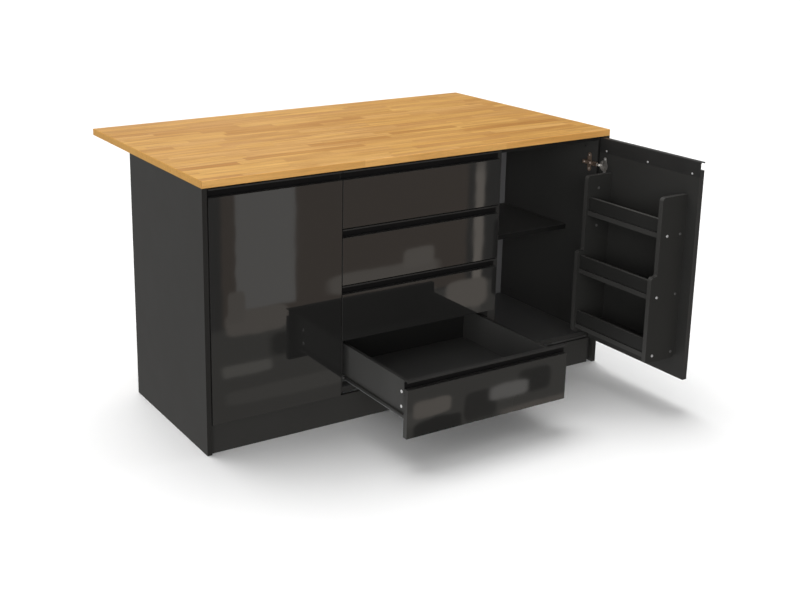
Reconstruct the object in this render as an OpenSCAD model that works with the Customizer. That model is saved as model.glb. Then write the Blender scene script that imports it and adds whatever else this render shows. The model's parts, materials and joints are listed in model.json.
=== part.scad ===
// Kitchen island: one wooden worktop over three fitted units, with a door at each
// side, four drawers between them, and a spice rack on the right door.
// Millimetres, Z up. The right door and the bottom drawer stand open at rest.

/* [Worktop] */
// Thickness of the worktop
worktop_t = 22; // [18:1:40]
// Depth of the worktop, from the front plane to the end of the bar overhang
worktop_d = 880; // [700:5:1000]
// Chamfer along the upper edges of the worktop
worktop_ease = 1.5; // [0.5:0.5:4]

/* [Body] */
// Height of the body, up to the underside of the worktop
body_h = 824; // [800:1:880]
// Width of the left unit
left_unit_w = 450; // [400:5:600]
// Width of the drawer unit
drawer_unit_w = 600; // [450:5:800]
// Width of the right unit
right_unit_w = 450; // [400:5:600]
// Thickness of the end panels
end_panel_t = 16; // [15:1:25]
// Depth of the end panels, from the front plane
end_panel_d = 546; // [540:1:600]
// Thickness of the panel that closes the back
rear_panel_t = 16; // [8:1:19]
// Height of the plinth board
plinth_h = 92; // [70:1:110]
// Thickness of the plinth board
plinth_t = 10; // [6:1:14]

/* [Unit boards] */
// Thickness of the unit boards
board_t = 16; // [15:1:19]
// Thickness of the inner backs
back_t = 5; // [3:1:8]
// Depth of the grooves that hold the inner backs
back_groove = 6; // [3:1:8]
// Distance from the rear panel to the inner backs
back_setback = 19; // [8:1:25]
// Width of the flat stretchers across the top of each unit
stretcher_w = 80; // [60:5:120]
// Height of the underside of the shelves
shelf_z = 460; // [420:1:520]
// Distance from the front edges of the unit to the shelf in the left unit
left_shelf_setback = 20; // [5:1:120]
// Distance from the spice rack, when its door is shut, to the shelf behind it
rack_shelf_air = 10; // [4:1:40]
// Height of the floor glides
glide_h = 3; // [2:0.5:6]
// Radius of the floor glides
glide_r = 7; // [4:0.5:7]

/* [Fronts] */
// Thickness of the doors and drawer fronts
front_t = 18; // [16:1:20]
// Gap between neighbouring fronts
front_gap = 3; // [2:0.5:5]
// Gap between the outer fronts and the end panels
front_reveal = 4; // [3:0.5:6]
// Gap between the backs of the fronts and the edges of the unit boards
front_air = 1; // [1:0.5:2]
// Gap between the plinth board and the fronts
plinth_air = 3; // [2:0.5:6]
// Gap between the fronts and the worktop
top_air = 4; // [3:0.5:8]

/* [Handle rails] */
// Height of the finger recess and lip, above the top of the board
rail_rise = 27; // [22:1:32]
// How far the rail runs down the back of the board
rail_lap = 23; // [20:1:30]
// Thickness of the rail's web and lip
rail_wall = 1.8; // [1.2:0.1:2.5]
// How far the lip's front edge turns down
rail_tip = 5; // [3:0.5:8]
// Radius inside the bend between web and lip
rail_bend = 4; // [1:0.5:6]
// Distance from the ends of a door to the outer screws of its rail
rail_screw_in = 32; // [25:1:60]

/* [Hinges] */
// Height of the lower hinges
lower_hinge_z = 195; // [180:1:230]
// Distance from the top of the doors down to the upper hinges
upper_hinge_drop = 95; // [85:1:110]
// Gap between an open door and the line of its end panel
open_air = 2; // [1:0.5:4]
// Radius of the hinge cup
cup_r = 17.5; // [17:0.5:18]
// Depth of the hinge cup in the door
cup_depth = 12; // [11.5:0.5:13]
// Wall of the hinge cup
cup_wall = 0.8; // [0.6:0.1:1]
// Gap between the link's end and the wall of the cup when the door is shut
link_end_air = 1.1; // [0.8:0.1:1.4]
// Rise of the bowed link, which clears the rim of the cup
link_bow = 5; // [4.6:0.1:5.4]
// Thickness of the bowed link
link_t = 1.6; // [1.2:0.1:1.8]
// Radius of the pin in the arm
hinge_pin_r = 1.25; // [1:0.05:1.5]
// Radius of the pin across the cup, on which the link bears when the door is open
cup_pin_r = 1; // [0.8:0.1:1.2]

/* [Spice rack] */
// Height of the lower end of the cheeks
rack_z = 162; // [150:1:200]
// Height of the cheeks
rack_h = 547; // [520:1:548]
// Height of the step in the cheeks above their lower end
rack_step = 290; // [280:1:330]
// Depth of the cheeks below the step
rack_low_d = 130; // [120:1:140]
// Depth of the cheeks above the step
rack_top_d = 105; // [90:1:110]
// Thickness of the cheeks
cheek_t = 16; // [12:1:19]
// Radius of the rounded corners of the cheeks
cheek_r = 12; // [5:1:16]
// Distance from the hinge edge of the door to the rack
rack_in = 48; // [44:1:70]
// Smallest gap between the swinging rack and the unit's far side
rack_swing_air = 2.6; // [1:0.1:8]
// Thickness of the trays
tray_t = 16; // [12:1:19]
// Heights of the undersides of the trays above the lower end of the cheeks
tray_lifts = [14, 212, 412]; // [10:1:440]
// How far the trays lie behind the front edges of the cheeks
tray_setback = 7; // [3:1:12]
// Height of the rails on the trays
tray_rail_h = 46; // [30:1:60]
// Thickness of the rails on the trays
tray_rail_t = 12; // [8:1:16]
// How far the rails lie behind the front edges of the trays
tray_rail_setback = 3; // [1:0.5:8]

/* [Drawers] */
// Thickness of the drawer sides and backs
box_t = 12; // [10:1:16]
// Distance from the drawer boxes, when shut, to the inner back
box_rear_air = 18; // [13:1:40]
// Distance from the lower edge of a front up to its box
box_lift = 39; // [30:1:50]
// Distance from the top of a front down to its box
box_drop = 21; // [18:1:40]
// Thickness of the drawer bottoms
box_bottom_t = 4; // [3:0.5:8]
// Height of the drawer bottoms above the lower edges of the sides
box_bottom_lift = 10; // [6:1:16]
// Depth of the grooves that hold the drawer bottoms
box_groove = 5; // [3:1:7]
// How far short of its full travel the bottom drawer stands at rest
drawer4_short = 38; // [0:1:380]

/* [Drawer runners] */
// How far the drawer boxes reach past the rear ends of their runners
runner_end_in = 20; // [10:1:60]
// Length of the runners that still overlaps when a drawer is fully out
runner_hold = 50; // [50:1:200]
// Gap between the two halves of a runner, beside their rollers
runner_side_air = 0.7; // [0.3:0.1:1.7]
// Sheet thickness of the runners
runner_wall = 1.2; // [1:0.1:1.4]
// Height of the moving runner, which is also that of its upper flange
runner_h = 16; // [15:0.5:18]
// Running gap between rollers and flanges
runner_air = 0.3; // [0.2:0.05:0.5]
// Width of the rollers
roller_w = 6.4; // [5:0.1:8]

/* [Hidden] */

// Colours
OAK = [0.82, 0.62, 0.34];
ANTHRACITE = [0.24, 0.24, 0.23];
INSIDE = [0.30, 0.30, 0.29];
GLOSS = [0.11, 0.11, 0.12];
RAIL_BLACK = [0.06, 0.06, 0.07];
NICKEL = [0.74, 0.73, 0.70];
RUNNER_GREY = [0.62, 0.63, 0.63];
GLIDE_BLACK = [0.12, 0.12, 0.12];

// Plan of the body. X runs from the left end panel, Y from the front plane.
island_w = 2 * end_panel_t + left_unit_w + drawer_unit_w + right_unit_w;
left_x = end_panel_t;
drawer_x = left_x + left_unit_w;
right_x = drawer_x + drawer_unit_w;
unit_y = front_t + front_air;
unit_end = end_panel_d - rear_panel_t;
back_y = unit_end - back_setback - back_t;
groove_play = 0.2;
glide_in = 28;
glide_ease = 1;
board_play = 0.5;

// Heights
front_z = plinth_h + plinth_air;
front_top = body_h - top_air;
bottom_lift = 3;
bottom_z = front_z + bottom_lift;
floor_z = bottom_z + board_t;

// Fronts and drawers
drawer_count = 4;
drawer_pitch = (front_top - front_z + front_gap) / drawer_count;
drawer_front_h = drawer_pitch - front_gap;
drawer_front_w = drawer_unit_w - front_gap;
box_h = drawer_front_h - box_lift - box_drop;
roller_gap = 2;
roller_side_air = 0.3;
channel_w = runner_wall + roller_gap + roller_w + roller_side_air;
runner_room = channel_w + 2 * runner_wall + runner_side_air;
box_d = back_y - front_t - box_rear_air;
box_x = drawer_x + board_t + runner_room;
box_w = drawer_unit_w - 2 * (board_t + runner_room);
runner_len = box_d - runner_end_in;
drawer4_out = runner_len - runner_hold - drawer4_short;
left_door_w = left_unit_w - front_reveal - front_gap / 2;
right_door_w = right_unit_w - front_reveal - front_gap / 2;

// Hinges, described for the left door. The right door is its mirror image.
door_x = end_panel_t + front_reveal;
hinge_wall_x = end_panel_t + board_t;
axis_to_back = 14.65;
axis_to_cup_rim = 3.65;
axis_to_cup = axis_to_cup_rim + cup_r;
pin_to_cup = 2.5;
axis_to_pin = axis_to_cup - pin_to_cup;
hinge_axis_y = front_t - axis_to_back;
hinge_axis_x = end_panel_t + open_air + hinge_axis_y;
hinge_zs = [lower_hinge_z, front_top - upper_hinge_drop];
cup_play = 0.1;
cup_flange_t = 0.8;
cup_flange_r = cup_r + 1;
cup_floor_t = 1.2;
cup_wing_in = 6;
cup_wing_r = 7;
cup_wing_reach = 24;
pin_over_cup_floor = 3;
hinge_pin_x = hinge_axis_x + axis_to_pin;
hinge_pin_y = front_t - cup_depth + cup_floor_t + pin_over_cup_floor;
hinge_play = 0.05;
link_half_w = 3.6;
link_eye_r = 2.3;
link_end_r = 1.3;
link_len = pin_to_cup + cup_r - cup_wall - link_end_air - link_end_r;
link_ratio = 1.2;
cup_pin_air = 0.35;
cup_pin_aim = -61;
arm_in = 4.4;
arm_out = 6;
arm_ear_r = 2.4;
arm_h = 12;
arm_len = 60;
arm_wall = 1.6;
plate_t = 1.5;
plate_line = 37;
plate_wing = 24;
plate_half_d = 9;
arm_screw_r = 3.2;
arm_screw_h = 1.2;
arm_screw_in = 10;
right_door_open = 90;

// Where the open door's links end, seen from the door: in X from the axis of the cup
// and in height over the floor of its bore. The pin across the cup lies beside it.
link_turn = link_ratio * right_door_open;
link_end = [axis_to_pin + link_len * cos(link_turn),
            hinge_pin_y - hinge_axis_y - link_len * sin(link_turn)];
link_end_in = link_end[0] * cos(right_door_open) - link_end[1] * sin(right_door_open)
    - axis_to_cup;
link_end_up = link_end[0] * sin(right_door_open) + link_end[1] * cos(right_door_open)
    + hinge_axis_y - front_t + cup_depth;
cup_pin_reach = link_end_r + cup_pin_r + cup_pin_air;
cup_pin_x = link_end_in + cup_pin_reach * cos(cup_pin_aim);
cup_pin_z = link_end_up + cup_pin_reach * sin(cup_pin_aim);

// Spice rack, described on the shut left door and then mirrored
rack_y = front_t;
rack_left = door_x + rack_in;
far_side_x = end_panel_t + right_unit_w - board_t;
rack_reach = far_side_x - hinge_axis_x - rack_swing_air;
rack_front_y = rack_y + rack_low_d - hinge_axis_y;
rack_right = hinge_axis_x + sqrt(rack_reach * rack_reach - rack_front_y * rack_front_y);
rack_inner_x = rack_left + cheek_t;
rack_inner_w = rack_right - rack_left - 2 * cheek_t;
cheek_step_r = 6;
cheek_cut = 12;
right_shelf_setback = rack_y + rack_low_d + rack_shelf_air - unit_y;

// Screws
screw_r = 2;
screw_head_r = 3.6;
screw_head_h = 2.2;
screw_play = 0.15;
screw_end_play = 0.5;
screw_bite = 12;
screw_in = 60;
screw_lift = 30;
screw_ys = [unit_y + screw_in, back_y - screw_in];
screw_zs = [floor_z + screw_lift, body_h - board_t - screw_lift];
rail_screw_head_h = 0.8;
rail_screw_bite = 10;
rail_screw_drop = 15;
rail_screw_z = front_top - rail_rise - rail_screw_drop;
rack_screw_front_in = 22;
rack_screw_back_in = 20;
rack_screw_bite = 24;

// Shelf pins
pin_r = 2.5;
pin_bite = 9;
pin_play = 0.1;
pin_collar_r = 4;
pin_collar_t = 1.5;
pin_reach = 8;
pin_tongue_t = 2;
pin_tongue_half = 5;
pin_front_in = 40;
pin_back_in = 70;

// Runners, described from the unit's side board inwards
runner_y = unit_y + 2;
runner_lip = 1.3;
channel_flange_w = channel_w - 0.4;
channel_top_air = 0.8;
roller_seat = 0.05;
roller_r = (runner_h - runner_wall - runner_air) / 2 - roller_seat;
roller_z = roller_r + roller_seat;
roller_axle_r = 1.5;
roller_end_in = 9;
box_strip_w = 11;

// Moves a shape from the body's plan to the part's own origin, which lies on the
// floor under the middle of the whole island, open door and worktop included.
door_free_y = hinge_axis_y + hinge_axis_x - door_x - right_door_w;
module in_frame()
    translate([-island_w / 2, -(worktop_d + door_free_y) / 2, 0]) children();

// Mirrors a shape from the left end of the island to the right end.
module right_hand() translate([island_w, 0, 0]) mirror([1, 0, 0]) children();

// Swings a shape about the door's axis.
module swing(angle)
    translate([hinge_axis_x, hinge_axis_y, 0]) rotate([0, 0, angle])
        translate([-hinge_axis_x, -hinge_axis_y, 0]) children();

// The right door's place at rest
module at_right_door() right_hand() swing(-right_door_open) children();

// Extrudes an outline drawn in Y and Z along X.
module along_x(length) rotate([90, 0, 90]) linear_extrude(length) children();

// Extrudes an outline drawn in X and Z along Y.
module along_y(length)
    translate([0, length, 0]) rotate([90, 0, 0]) linear_extrude(length) children();

// A rod along X, from the origin.
module rod_x(length, radius)
    rotate([0, 90, 0]) cylinder(h = length, r = radius, $fn = 32);

// Points on an arc.
function arc(cx, cy, r, from, to, steps = 6) =
    [for (i = [0:steps]) let (a = from + (to - from) * i / steps)
        [cx + r * cos(a), cy + r * sin(a)]];

// A pan-head screw whose shank runs along +Z from the face that the head sits on.
module pan_screw(bite, head_h = screw_head_h, head_r = screw_head_r)
    rotate_extrude($fn = 32)
        polygon([[0, -head_h], [head_r * 0.65, -head_h], [head_r, -head_h / 3],
                 [head_r, 0], [screw_r, 0], [screw_r, bite - screw_r], [0, bite]]);

// ---- Worktop and outer panels ----

module worktop_slab(width, depth, height, ease)
    intersection() {
        along_x(width)
            polygon([[0, 0], [depth, 0], [depth, height - ease],
                     [depth - ease, height], [ease, height], [0, height - ease]]);
        along_y(depth)
            polygon([[0, 0], [width, 0], [width, height - ease],
                     [width - ease, height], [ease, height], [0, height - ease]]);
    }

module worktop()
    in_frame() color(OAK) difference() {
        translate([0, 0, body_h])
            worktop_slab(island_w, worktop_d, worktop_t, worktop_ease);
        worktop_screw_holes(body_h, screw_bite + screw_end_play);
    }

module end_panel(x)
    in_frame() color(ANTHRACITE) difference() {
        translate([x, 0, 0]) cube([end_panel_t, end_panel_d, body_h]);
        unit_screw_holes();
    }

module plinth_board()
    in_frame() color(ANTHRACITE)
        translate([end_panel_t, unit_y - plinth_t, 0])
            cube([island_w - 2 * end_panel_t - board_t, plinth_t, plinth_h]);

module rear_panel()
    in_frame() color(ANTHRACITE)
        translate([end_panel_t, unit_end, 0])
            cube([island_w - 2 * end_panel_t, rear_panel_t, body_h]);

// ---- Unit boards ----

// The two side boards of a unit, with the groove for its back.
module side_pair(x, width)
    difference() {
        for (side_x = [x, x + width - board_t])
            translate([side_x, unit_y, glide_h])
                cube([board_t, unit_end - unit_y, body_h - glide_h]);
        translate([x + board_t - back_groove, back_y - groove_play, glide_h - 1])
            cube([width - 2 * (board_t - back_groove), back_t + 2 * groove_play,
                  body_h - glide_h + 2]);
    }

module shelved_sides(x, width, setback)
    in_frame() color(INSIDE) difference() {
        side_pair(x, width);
        unit_screw_holes();
        at_shelf_pins(x, width, setback)
            translate([-pin_bite - pin_play, 0, 0])
                rod_x(pin_bite + 1, pin_r + pin_play);
    }

module drawer_unit_sides()
    in_frame() color(INSIDE) difference() {
        side_pair(drawer_x, drawer_unit_w);
        unit_screw_holes();
    }

module unit_bottom(x, width)
    in_frame() color(INSIDE)
        translate([x + board_t, unit_y, bottom_z])
            cube([width - 2 * board_t, back_y - unit_y, board_t]);

module unit_back(x, width)
    in_frame() color(INSIDE)
        translate([x + board_t - back_groove + groove_play, back_y, bottom_z])
            cube([width - 2 * (board_t - back_groove + groove_play), back_t,
                  body_h - bottom_z]);

function unit_spans() = [[left_x, left_unit_w], [drawer_x, drawer_unit_w],
                         [right_x, right_unit_w]];
function stretcher_ys() = [unit_y, back_y - stretcher_w];

module top_stretchers()
    in_frame() color(INSIDE) difference() {
        for (span = unit_spans(), y = stretcher_ys())
            translate([span[0] + board_t, y, body_h - board_t])
                cube([span[1] - 2 * board_t, stretcher_w, board_t]);
        worktop_screw_holes(body_h - board_t, board_t + 1);
    }

module unit_shelf(x, width, setback)
    in_frame() color(INSIDE)
        translate([x + board_t + board_play, unit_y + setback, shelf_z])
            cube([width - 2 * (board_t + board_play),
                  back_y - board_play - unit_y - setback, board_t]);

// Places children at the four pins under a shelf, with +X pointing out of the board.
module at_shelf_pins(x, width, setback)
    for (y = [unit_y + setback + pin_front_in, back_y - pin_back_in])
        translate([0, y, shelf_z - pin_collar_r]) {
            translate([x + board_t, 0, 0]) children();
            translate([x + width - board_t, 0, 0]) mirror([1, 0, 0]) children();
        }

module shelf_pin() {
    translate([-pin_bite, 0, 0]) rod_x(pin_bite + pin_collar_t, pin_r);
    rod_x(pin_collar_t, pin_collar_r);
    translate([0, -pin_tongue_half, pin_collar_r - pin_tongue_t])
        cube([pin_reach, 2 * pin_tongue_half, pin_tongue_t]);
}

module shelf_pins()
    in_frame() color(NICKEL) {
        at_shelf_pins(left_x, left_unit_w, left_shelf_setback) shelf_pin();
        at_shelf_pins(right_x, right_unit_w, right_shelf_setback) shelf_pin();
    }

module floor_glides()
    in_frame() color(GLIDE_BLACK)
        for (span = unit_spans(), y = [unit_y + glide_in, unit_end - glide_in])
            for (x = [span[0] + board_t / 2, span[0] + span[1] - board_t / 2])
                translate([x, y, 0]) rotate_extrude($fn = 32)
                    polygon([[0, 0], [glide_r - glide_ease, 0], [glide_r, glide_ease],
                             [glide_r, glide_h], [0, glide_h]]);

// ---- Screws of the body ----

// Places children where each unit screw's head sits, with +Z along its shank.
module at_unit_screws()
    for (y = screw_ys, z = screw_zs) {
        for (x = [left_x + board_t, right_x + board_t])
            translate([x, y, z]) rotate([0, -90, 0]) children();
        for (x = [drawer_x - board_t, right_x + right_unit_w - board_t])
            translate([x, y, z]) rotate([0, 90, 0]) children();
    }

module unit_screw_holes()
    at_unit_screws() translate([0, 0, -1])
        cylinder(h = 1 + board_t + screw_bite + screw_end_play,
                 r = screw_r + screw_play, $fn = 32);

// Places children on the centre of each stretcher, at a height.
module at_worktop_screws(z)
    for (span = unit_spans(), y = stretcher_ys())
        translate([span[0] + span[1] / 2, y + stretcher_w / 2, z]) children();

module worktop_screw_holes(z, depth)
    at_worktop_screws(z) translate([0, 0, -1])
        cylinder(h = depth + 1, r = screw_r + screw_play, $fn = 32);

module carcass_screws()
    in_frame() color(NICKEL) {
        at_unit_screws() pan_screw(board_t + screw_bite);
        at_worktop_screws(body_h - board_t) pan_screw(board_t + screw_bite);
    }

// ---- Handle rails ----

// Outline of a rail in Y and Z, with its lip's upper face at the given height.
function rail_outline(top) = concat(
    [[0, top - rail_tip], [rail_wall, top - rail_tip], [rail_wall, top - rail_wall]],
    arc(front_t - rail_wall - rail_bend, top - rail_wall - rail_bend, rail_bend, 90, 0),
    [[front_t - rail_wall, top - rail_rise - rail_lap],
     [front_t, top - rail_rise - rail_lap]],
    arc(front_t - rail_wall, top - rail_wall, rail_wall, 0, 90, 4),
    [[rail_wall / 2, top], [0, top - rail_wall / 2]]);

module handle_rail(x, width, top)
    translate([x, 0, 0]) along_x(width) polygon(rail_outline(top));

// A front board with the rebate in its back for the rail's web.
module front_board(x, width, z, top)
    difference() {
        translate([x, 0, z]) cube([width, front_t, top - rail_rise - z]);
        translate([x - 1, front_t - rail_wall, top - rail_rise - rail_lap])
            cube([width + 2, front_t, rail_lap + 1]);
    }

// ---- Doors, described shut and on the left ----

function rail_screw_xs(width) =
    [door_x + rail_screw_in, door_x + width / 2, door_x + width - rail_screw_in];

module at_rail_screws(width)
    for (x = rail_screw_xs(width))
        translate([x, front_t, rail_screw_z]) rotate([90, 0, 0]) children();

module rail_screw_holes(width)
    at_rail_screws(width) translate([0, 0, -1])
        cylinder(h = 1 + rail_screw_bite + screw_end_play,
                 r = screw_r + screw_play, $fn = 32);

module door_board(width)
    difference() {
        front_board(door_x, width, front_z, front_top);
        rail_screw_holes(width);
        at_hinge_cups() cylinder(h = cup_depth + 1, r = cup_r + cup_play, $fn = 64);
    }

module door_rail(width)
    difference() {
        handle_rail(door_x, width, front_top);
        rail_screw_holes(width);
    }

module rail_screws(width)
    at_rail_screws(width) pan_screw(rail_screw_bite, rail_screw_head_h);

// Places children on the floor of each cup's bore, with +Z out of its mouth.
module at_hinge_cups()
    for (z = hinge_zs)
        translate([hinge_axis_x + axis_to_cup, front_t - cup_depth, z])
            rotate([-90, 0, 0]) children();

// Outline of the flange that lies on the door: a disc and two screw wings.
module cup_flange_outline() {
    circle(r = cup_flange_r, $fn = 64);
    translate([cup_wing_in, 0]) {
        translate([-cup_wing_r, -cup_wing_reach])
            square([2 * cup_wing_r, 2 * cup_wing_reach]);
        for (y = [-cup_wing_reach, cup_wing_reach])
            translate([0, y]) circle(r = cup_wing_r, $fn = 32);
    }
}

module hinge_cup() {
    difference() {
        union() {
            cylinder(h = cup_depth, r = cup_r, $fn = 64);
            translate([0, 0, cup_depth])
                linear_extrude(cup_flange_t) cup_flange_outline();
        }
        translate([0, 0, cup_floor_t])
            cylinder(h = cup_depth, r = cup_r - cup_wall, $fn = 64);
    }
    intersection() {
        cylinder(h = cup_depth, r = cup_r - cup_wall / 2, $fn = 64);
        translate([cup_pin_x, cup_r, cup_pin_z]) rotate([90, 0, 0])
            cylinder(h = 2 * cup_r, r = cup_pin_r, $fn = 32);
    }
}

module hinge_cups() at_hinge_cups() hinge_cup();

// ---- Hinge arms and links, on the left ----

// One cheek of the arm in X and Y, from its ear round the pin to its end.
module arm_cheek_outline() {
    translate([hinge_pin_x, hinge_pin_y]) circle(r = arm_ear_r, $fn = 32);
    polygon([[hinge_pin_x - arm_ear_r, hinge_pin_y],
             [hinge_pin_x + arm_ear_r, hinge_pin_y],
             [hinge_wall_x + arm_h, unit_y + arm_h],
             [hinge_wall_x + arm_h, unit_y + arm_len],
             [hinge_wall_x + plate_t, unit_y + arm_len],
             [hinge_wall_x + plate_t, unit_y + arm_h / 2]]);
}

module hinge_arm() {
    for (z = [-arm_out, arm_in])
        translate([0, 0, z]) linear_extrude(arm_out - arm_in) arm_cheek_outline();
    // Web that joins the cheeks
    translate([hinge_wall_x + arm_h - arm_wall, unit_y + arm_h, -arm_out])
        cube([arm_wall, arm_len - arm_h, 2 * arm_out]);
    // Pin through the ears
    translate([hinge_pin_x, hinge_pin_y, -arm_out])
        cylinder(h = 2 * arm_out, r = hinge_pin_r, $fn = 32);
    // Plate and its wings on the side board
    translate([hinge_wall_x, unit_y + arm_h / 2, -arm_out])
        cube([plate_t, arm_len - arm_h / 2, 2 * arm_out]);
    translate([hinge_wall_x, unit_y + plate_line, 0]) {
        translate([0, -plate_half_d, -plate_wing])
            cube([plate_t, 2 * plate_half_d, 2 * plate_wing]);
        for (z = [-plate_wing, plate_wing])
            translate([0, 0, z]) rod_x(plate_t, plate_half_d);
        for (z = [-plate_wing, plate_wing])
            translate([0, 0, z]) rod_x(plate_t + arm_screw_h, arm_screw_r);
    }
    // Adjusting screws on the web
    for (y = [unit_y + arm_h + arm_screw_in, unit_y + arm_len - arm_screw_in])
        translate([hinge_wall_x + arm_h, y, 0]) rod_x(arm_screw_h, arm_screw_r);
}

module hinge_arms()
    in_frame() color(NICKEL)
        for (z = hinge_zs) {
            translate([0, 0, z]) hinge_arm();
            right_hand() translate([0, 0, z]) hinge_arm();
        }

// Outline of the bowed link, from the pin at the origin to its end along +X.
bow_r = (link_len * link_len / 4 + link_bow * link_bow) / (2 * link_bow);
bow_half = asin(link_len / 2 / bow_r);
module link_bow_outline()
    polygon(concat(
        arc(link_len / 2, link_bow - bow_r, bow_r + link_t / 2,
            90 + bow_half, 90 - bow_half, 12),
        arc(link_len / 2, link_bow - bow_r, bow_r - link_t / 2,
            90 - bow_half, 90 + bow_half, 12)));

module hinge_link()
    difference() {
        translate([0, 0, -link_half_w]) {
            linear_extrude(2 * link_half_w) link_bow_outline();
            cylinder(h = 2 * link_half_w, r = link_eye_r, $fn = 32);
            translate([link_len, 0, 0])
                cylinder(h = 2 * link_half_w, r = link_end_r, $fn = 32);
        }
        translate([0, 0, -link_half_w - 1])
            cylinder(h = 2 * link_half_w + 2, r = hinge_pin_r + hinge_play, $fn = 32);
    }

// Both links of a door that stands open by an angle.
module hinge_links(open_angle)
    for (z = hinge_zs)
        translate([hinge_pin_x, hinge_pin_y, z])
            rotate([0, 0, -link_ratio * open_angle]) hinge_link();

// ---- Spice rack ----

// Outline of a cheek in Y and Z, stepped in above the two lower trays.
module cheek_outline() {
    low = rack_y + rack_low_d;
    high = rack_y + rack_top_d;
    top = rack_z + rack_h;
    step = rack_z + rack_step;
    polygon(concat(
        [[rack_y, rack_z + cheek_cut], [rack_y + cheek_cut, rack_z]],
        arc(low - cheek_r, rack_z + cheek_r, cheek_r, -90, 0),
        arc(low - cheek_r, step - cheek_r, cheek_r, 0, 90),
        arc(high + cheek_step_r, step + cheek_step_r, cheek_step_r, 270, 180, 4),
        arc(high - cheek_r, top - cheek_r, cheek_r, 0, 90),
        [[rack_y, top]]));
}

function tray_depth(i) =
    (tray_lifts[i] > rack_step ? rack_top_d : rack_low_d) - tray_setback;

module at_rack_screws()
    for (i = [0:len(tray_lifts) - 1],
         d = [rack_screw_back_in, tray_depth(i) - rack_screw_front_in])
        translate([0, rack_y + d, rack_z + tray_lifts[i] + tray_t / 2]) {
            translate([rack_left, 0, 0]) rotate([0, 90, 0]) children();
            translate([rack_right, 0, 0]) rotate([0, -90, 0]) children();
        }

module rack_screw_holes()
    at_rack_screws() translate([0, 0, -1])
        cylinder(h = 1 + cheek_t + rack_screw_bite + screw_end_play,
                 r = screw_r + screw_play, $fn = 32);

module right_door_rack_cheeks()
    in_frame() at_right_door() color(ANTHRACITE) difference() {
        for (x = [rack_left, rack_right - cheek_t])
            translate([x, 0, 0]) along_x(cheek_t) cheek_outline();
        rack_screw_holes();
    }

module right_door_rack_trays()
    in_frame() at_right_door() color(ANTHRACITE) difference() {
        for (i = [0:len(tray_lifts) - 1])
            translate([rack_inner_x, rack_y, rack_z + tray_lifts[i]])
                cube([rack_inner_w, tray_depth(i), tray_t]);
        rack_screw_holes();
    }

module right_door_rack_rails()
    in_frame() at_right_door() color(ANTHRACITE)
        for (i = [0:len(tray_lifts) - 1])
            translate([rack_inner_x,
                       rack_y + tray_depth(i) - tray_rail_setback - tray_rail_t,
                       rack_z + tray_lifts[i] + tray_t])
                cube([rack_inner_w, tray_rail_t, tray_rail_h]);

module right_door_rack_screws()
    in_frame() at_right_door() color(NICKEL)
        at_rack_screws() pan_screw(cheek_t + rack_screw_bite);

// ---- Drawers, numbered from the top ----

function drawer_z(n) = front_top - drawer_front_h - (n - 1) * drawer_pitch;
function drawer_out(n) = n == drawer_count ? drawer4_out : 0;

// A drawer's place at rest
module at_drawer(n) in_frame() translate([0, -drawer_out(n), drawer_z(n)]) children();

module drawer_front_board(n)
    at_drawer(n) color(GLOSS)
        front_board(drawer_x + front_gap / 2, drawer_front_w, 0, drawer_front_h);

module drawer_handle_rail(n)
    at_drawer(n) color(RAIL_BLACK)
        handle_rail(drawer_x + front_gap / 2, drawer_front_w, drawer_front_h);

module drawer_box_sides(n)
    at_drawer(n) color(INSIDE) difference() {
        for (x = [box_x, box_x + box_w - box_t])
            translate([x, front_t, box_lift]) cube([box_t, box_d, box_h]);
        translate([box_x + box_t - box_groove, front_t - 1,
                   box_lift + box_bottom_lift - groove_play])
            cube([box_w - 2 * (box_t - box_groove), box_d + 2,
                  box_bottom_t + 2 * groove_play]);
    }

module drawer_box_back(n)
    at_drawer(n) color(INSIDE)
        translate([box_x + box_t, front_t + box_d - box_t,
                   box_lift + box_bottom_lift + box_bottom_t])
            cube([box_w - 2 * box_t, box_t, box_h - box_bottom_lift - box_bottom_t]);

module drawer_box_bottom(n)
    at_drawer(n) color(INSIDE)
        translate([box_x + box_t - box_groove + groove_play, front_t,
                   box_lift + box_bottom_lift])
            cube([box_w - 2 * (box_t - box_groove + groove_play), box_d, box_bottom_t]);

// ---- Roller runners, described on the drawer unit's left side board ----

// Both runners of a drawer: the one described, and its mirror image.
module both_runners() {
    translate([drawer_x + board_t, 0, 0]) children();
    translate([drawer_x + drawer_unit_w - board_t, 0, 0]) mirror([1, 0, 0]) children();
}

module roller(x, y) translate([x, y, roller_z]) rod_x(roller_w, roller_r);

// The fixed half: a channel on the board, open to the drawer, with a front roller.
module fixed_runner() {
    low = -runner_air;
    high = runner_h + channel_top_air;
    translate([0, runner_y, 0]) along_y(runner_len)
        polygon([[0, low - runner_wall], [channel_w + runner_wall, low - runner_wall],
                 [channel_w + runner_wall, low + runner_lip], [channel_w, low + runner_lip],
                 [channel_w, low], [runner_wall, low], [runner_wall, high],
                 [channel_flange_w, high], [channel_flange_w, high + runner_wall],
                 [0, high + runner_wall]]);
    roller(runner_wall + roller_gap, runner_y + roller_end_in);
    translate([0, runner_y + roller_end_in, roller_z])
        rod_x(runner_wall + roller_gap + roller_w, roller_axle_r);
}

module cabinet_runners()
    in_frame() color(RUNNER_GREY)
        for (n = [1:drawer_count])
            translate([0, 0, drawer_z(n) + box_lift]) both_runners() fixed_runner();

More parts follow.
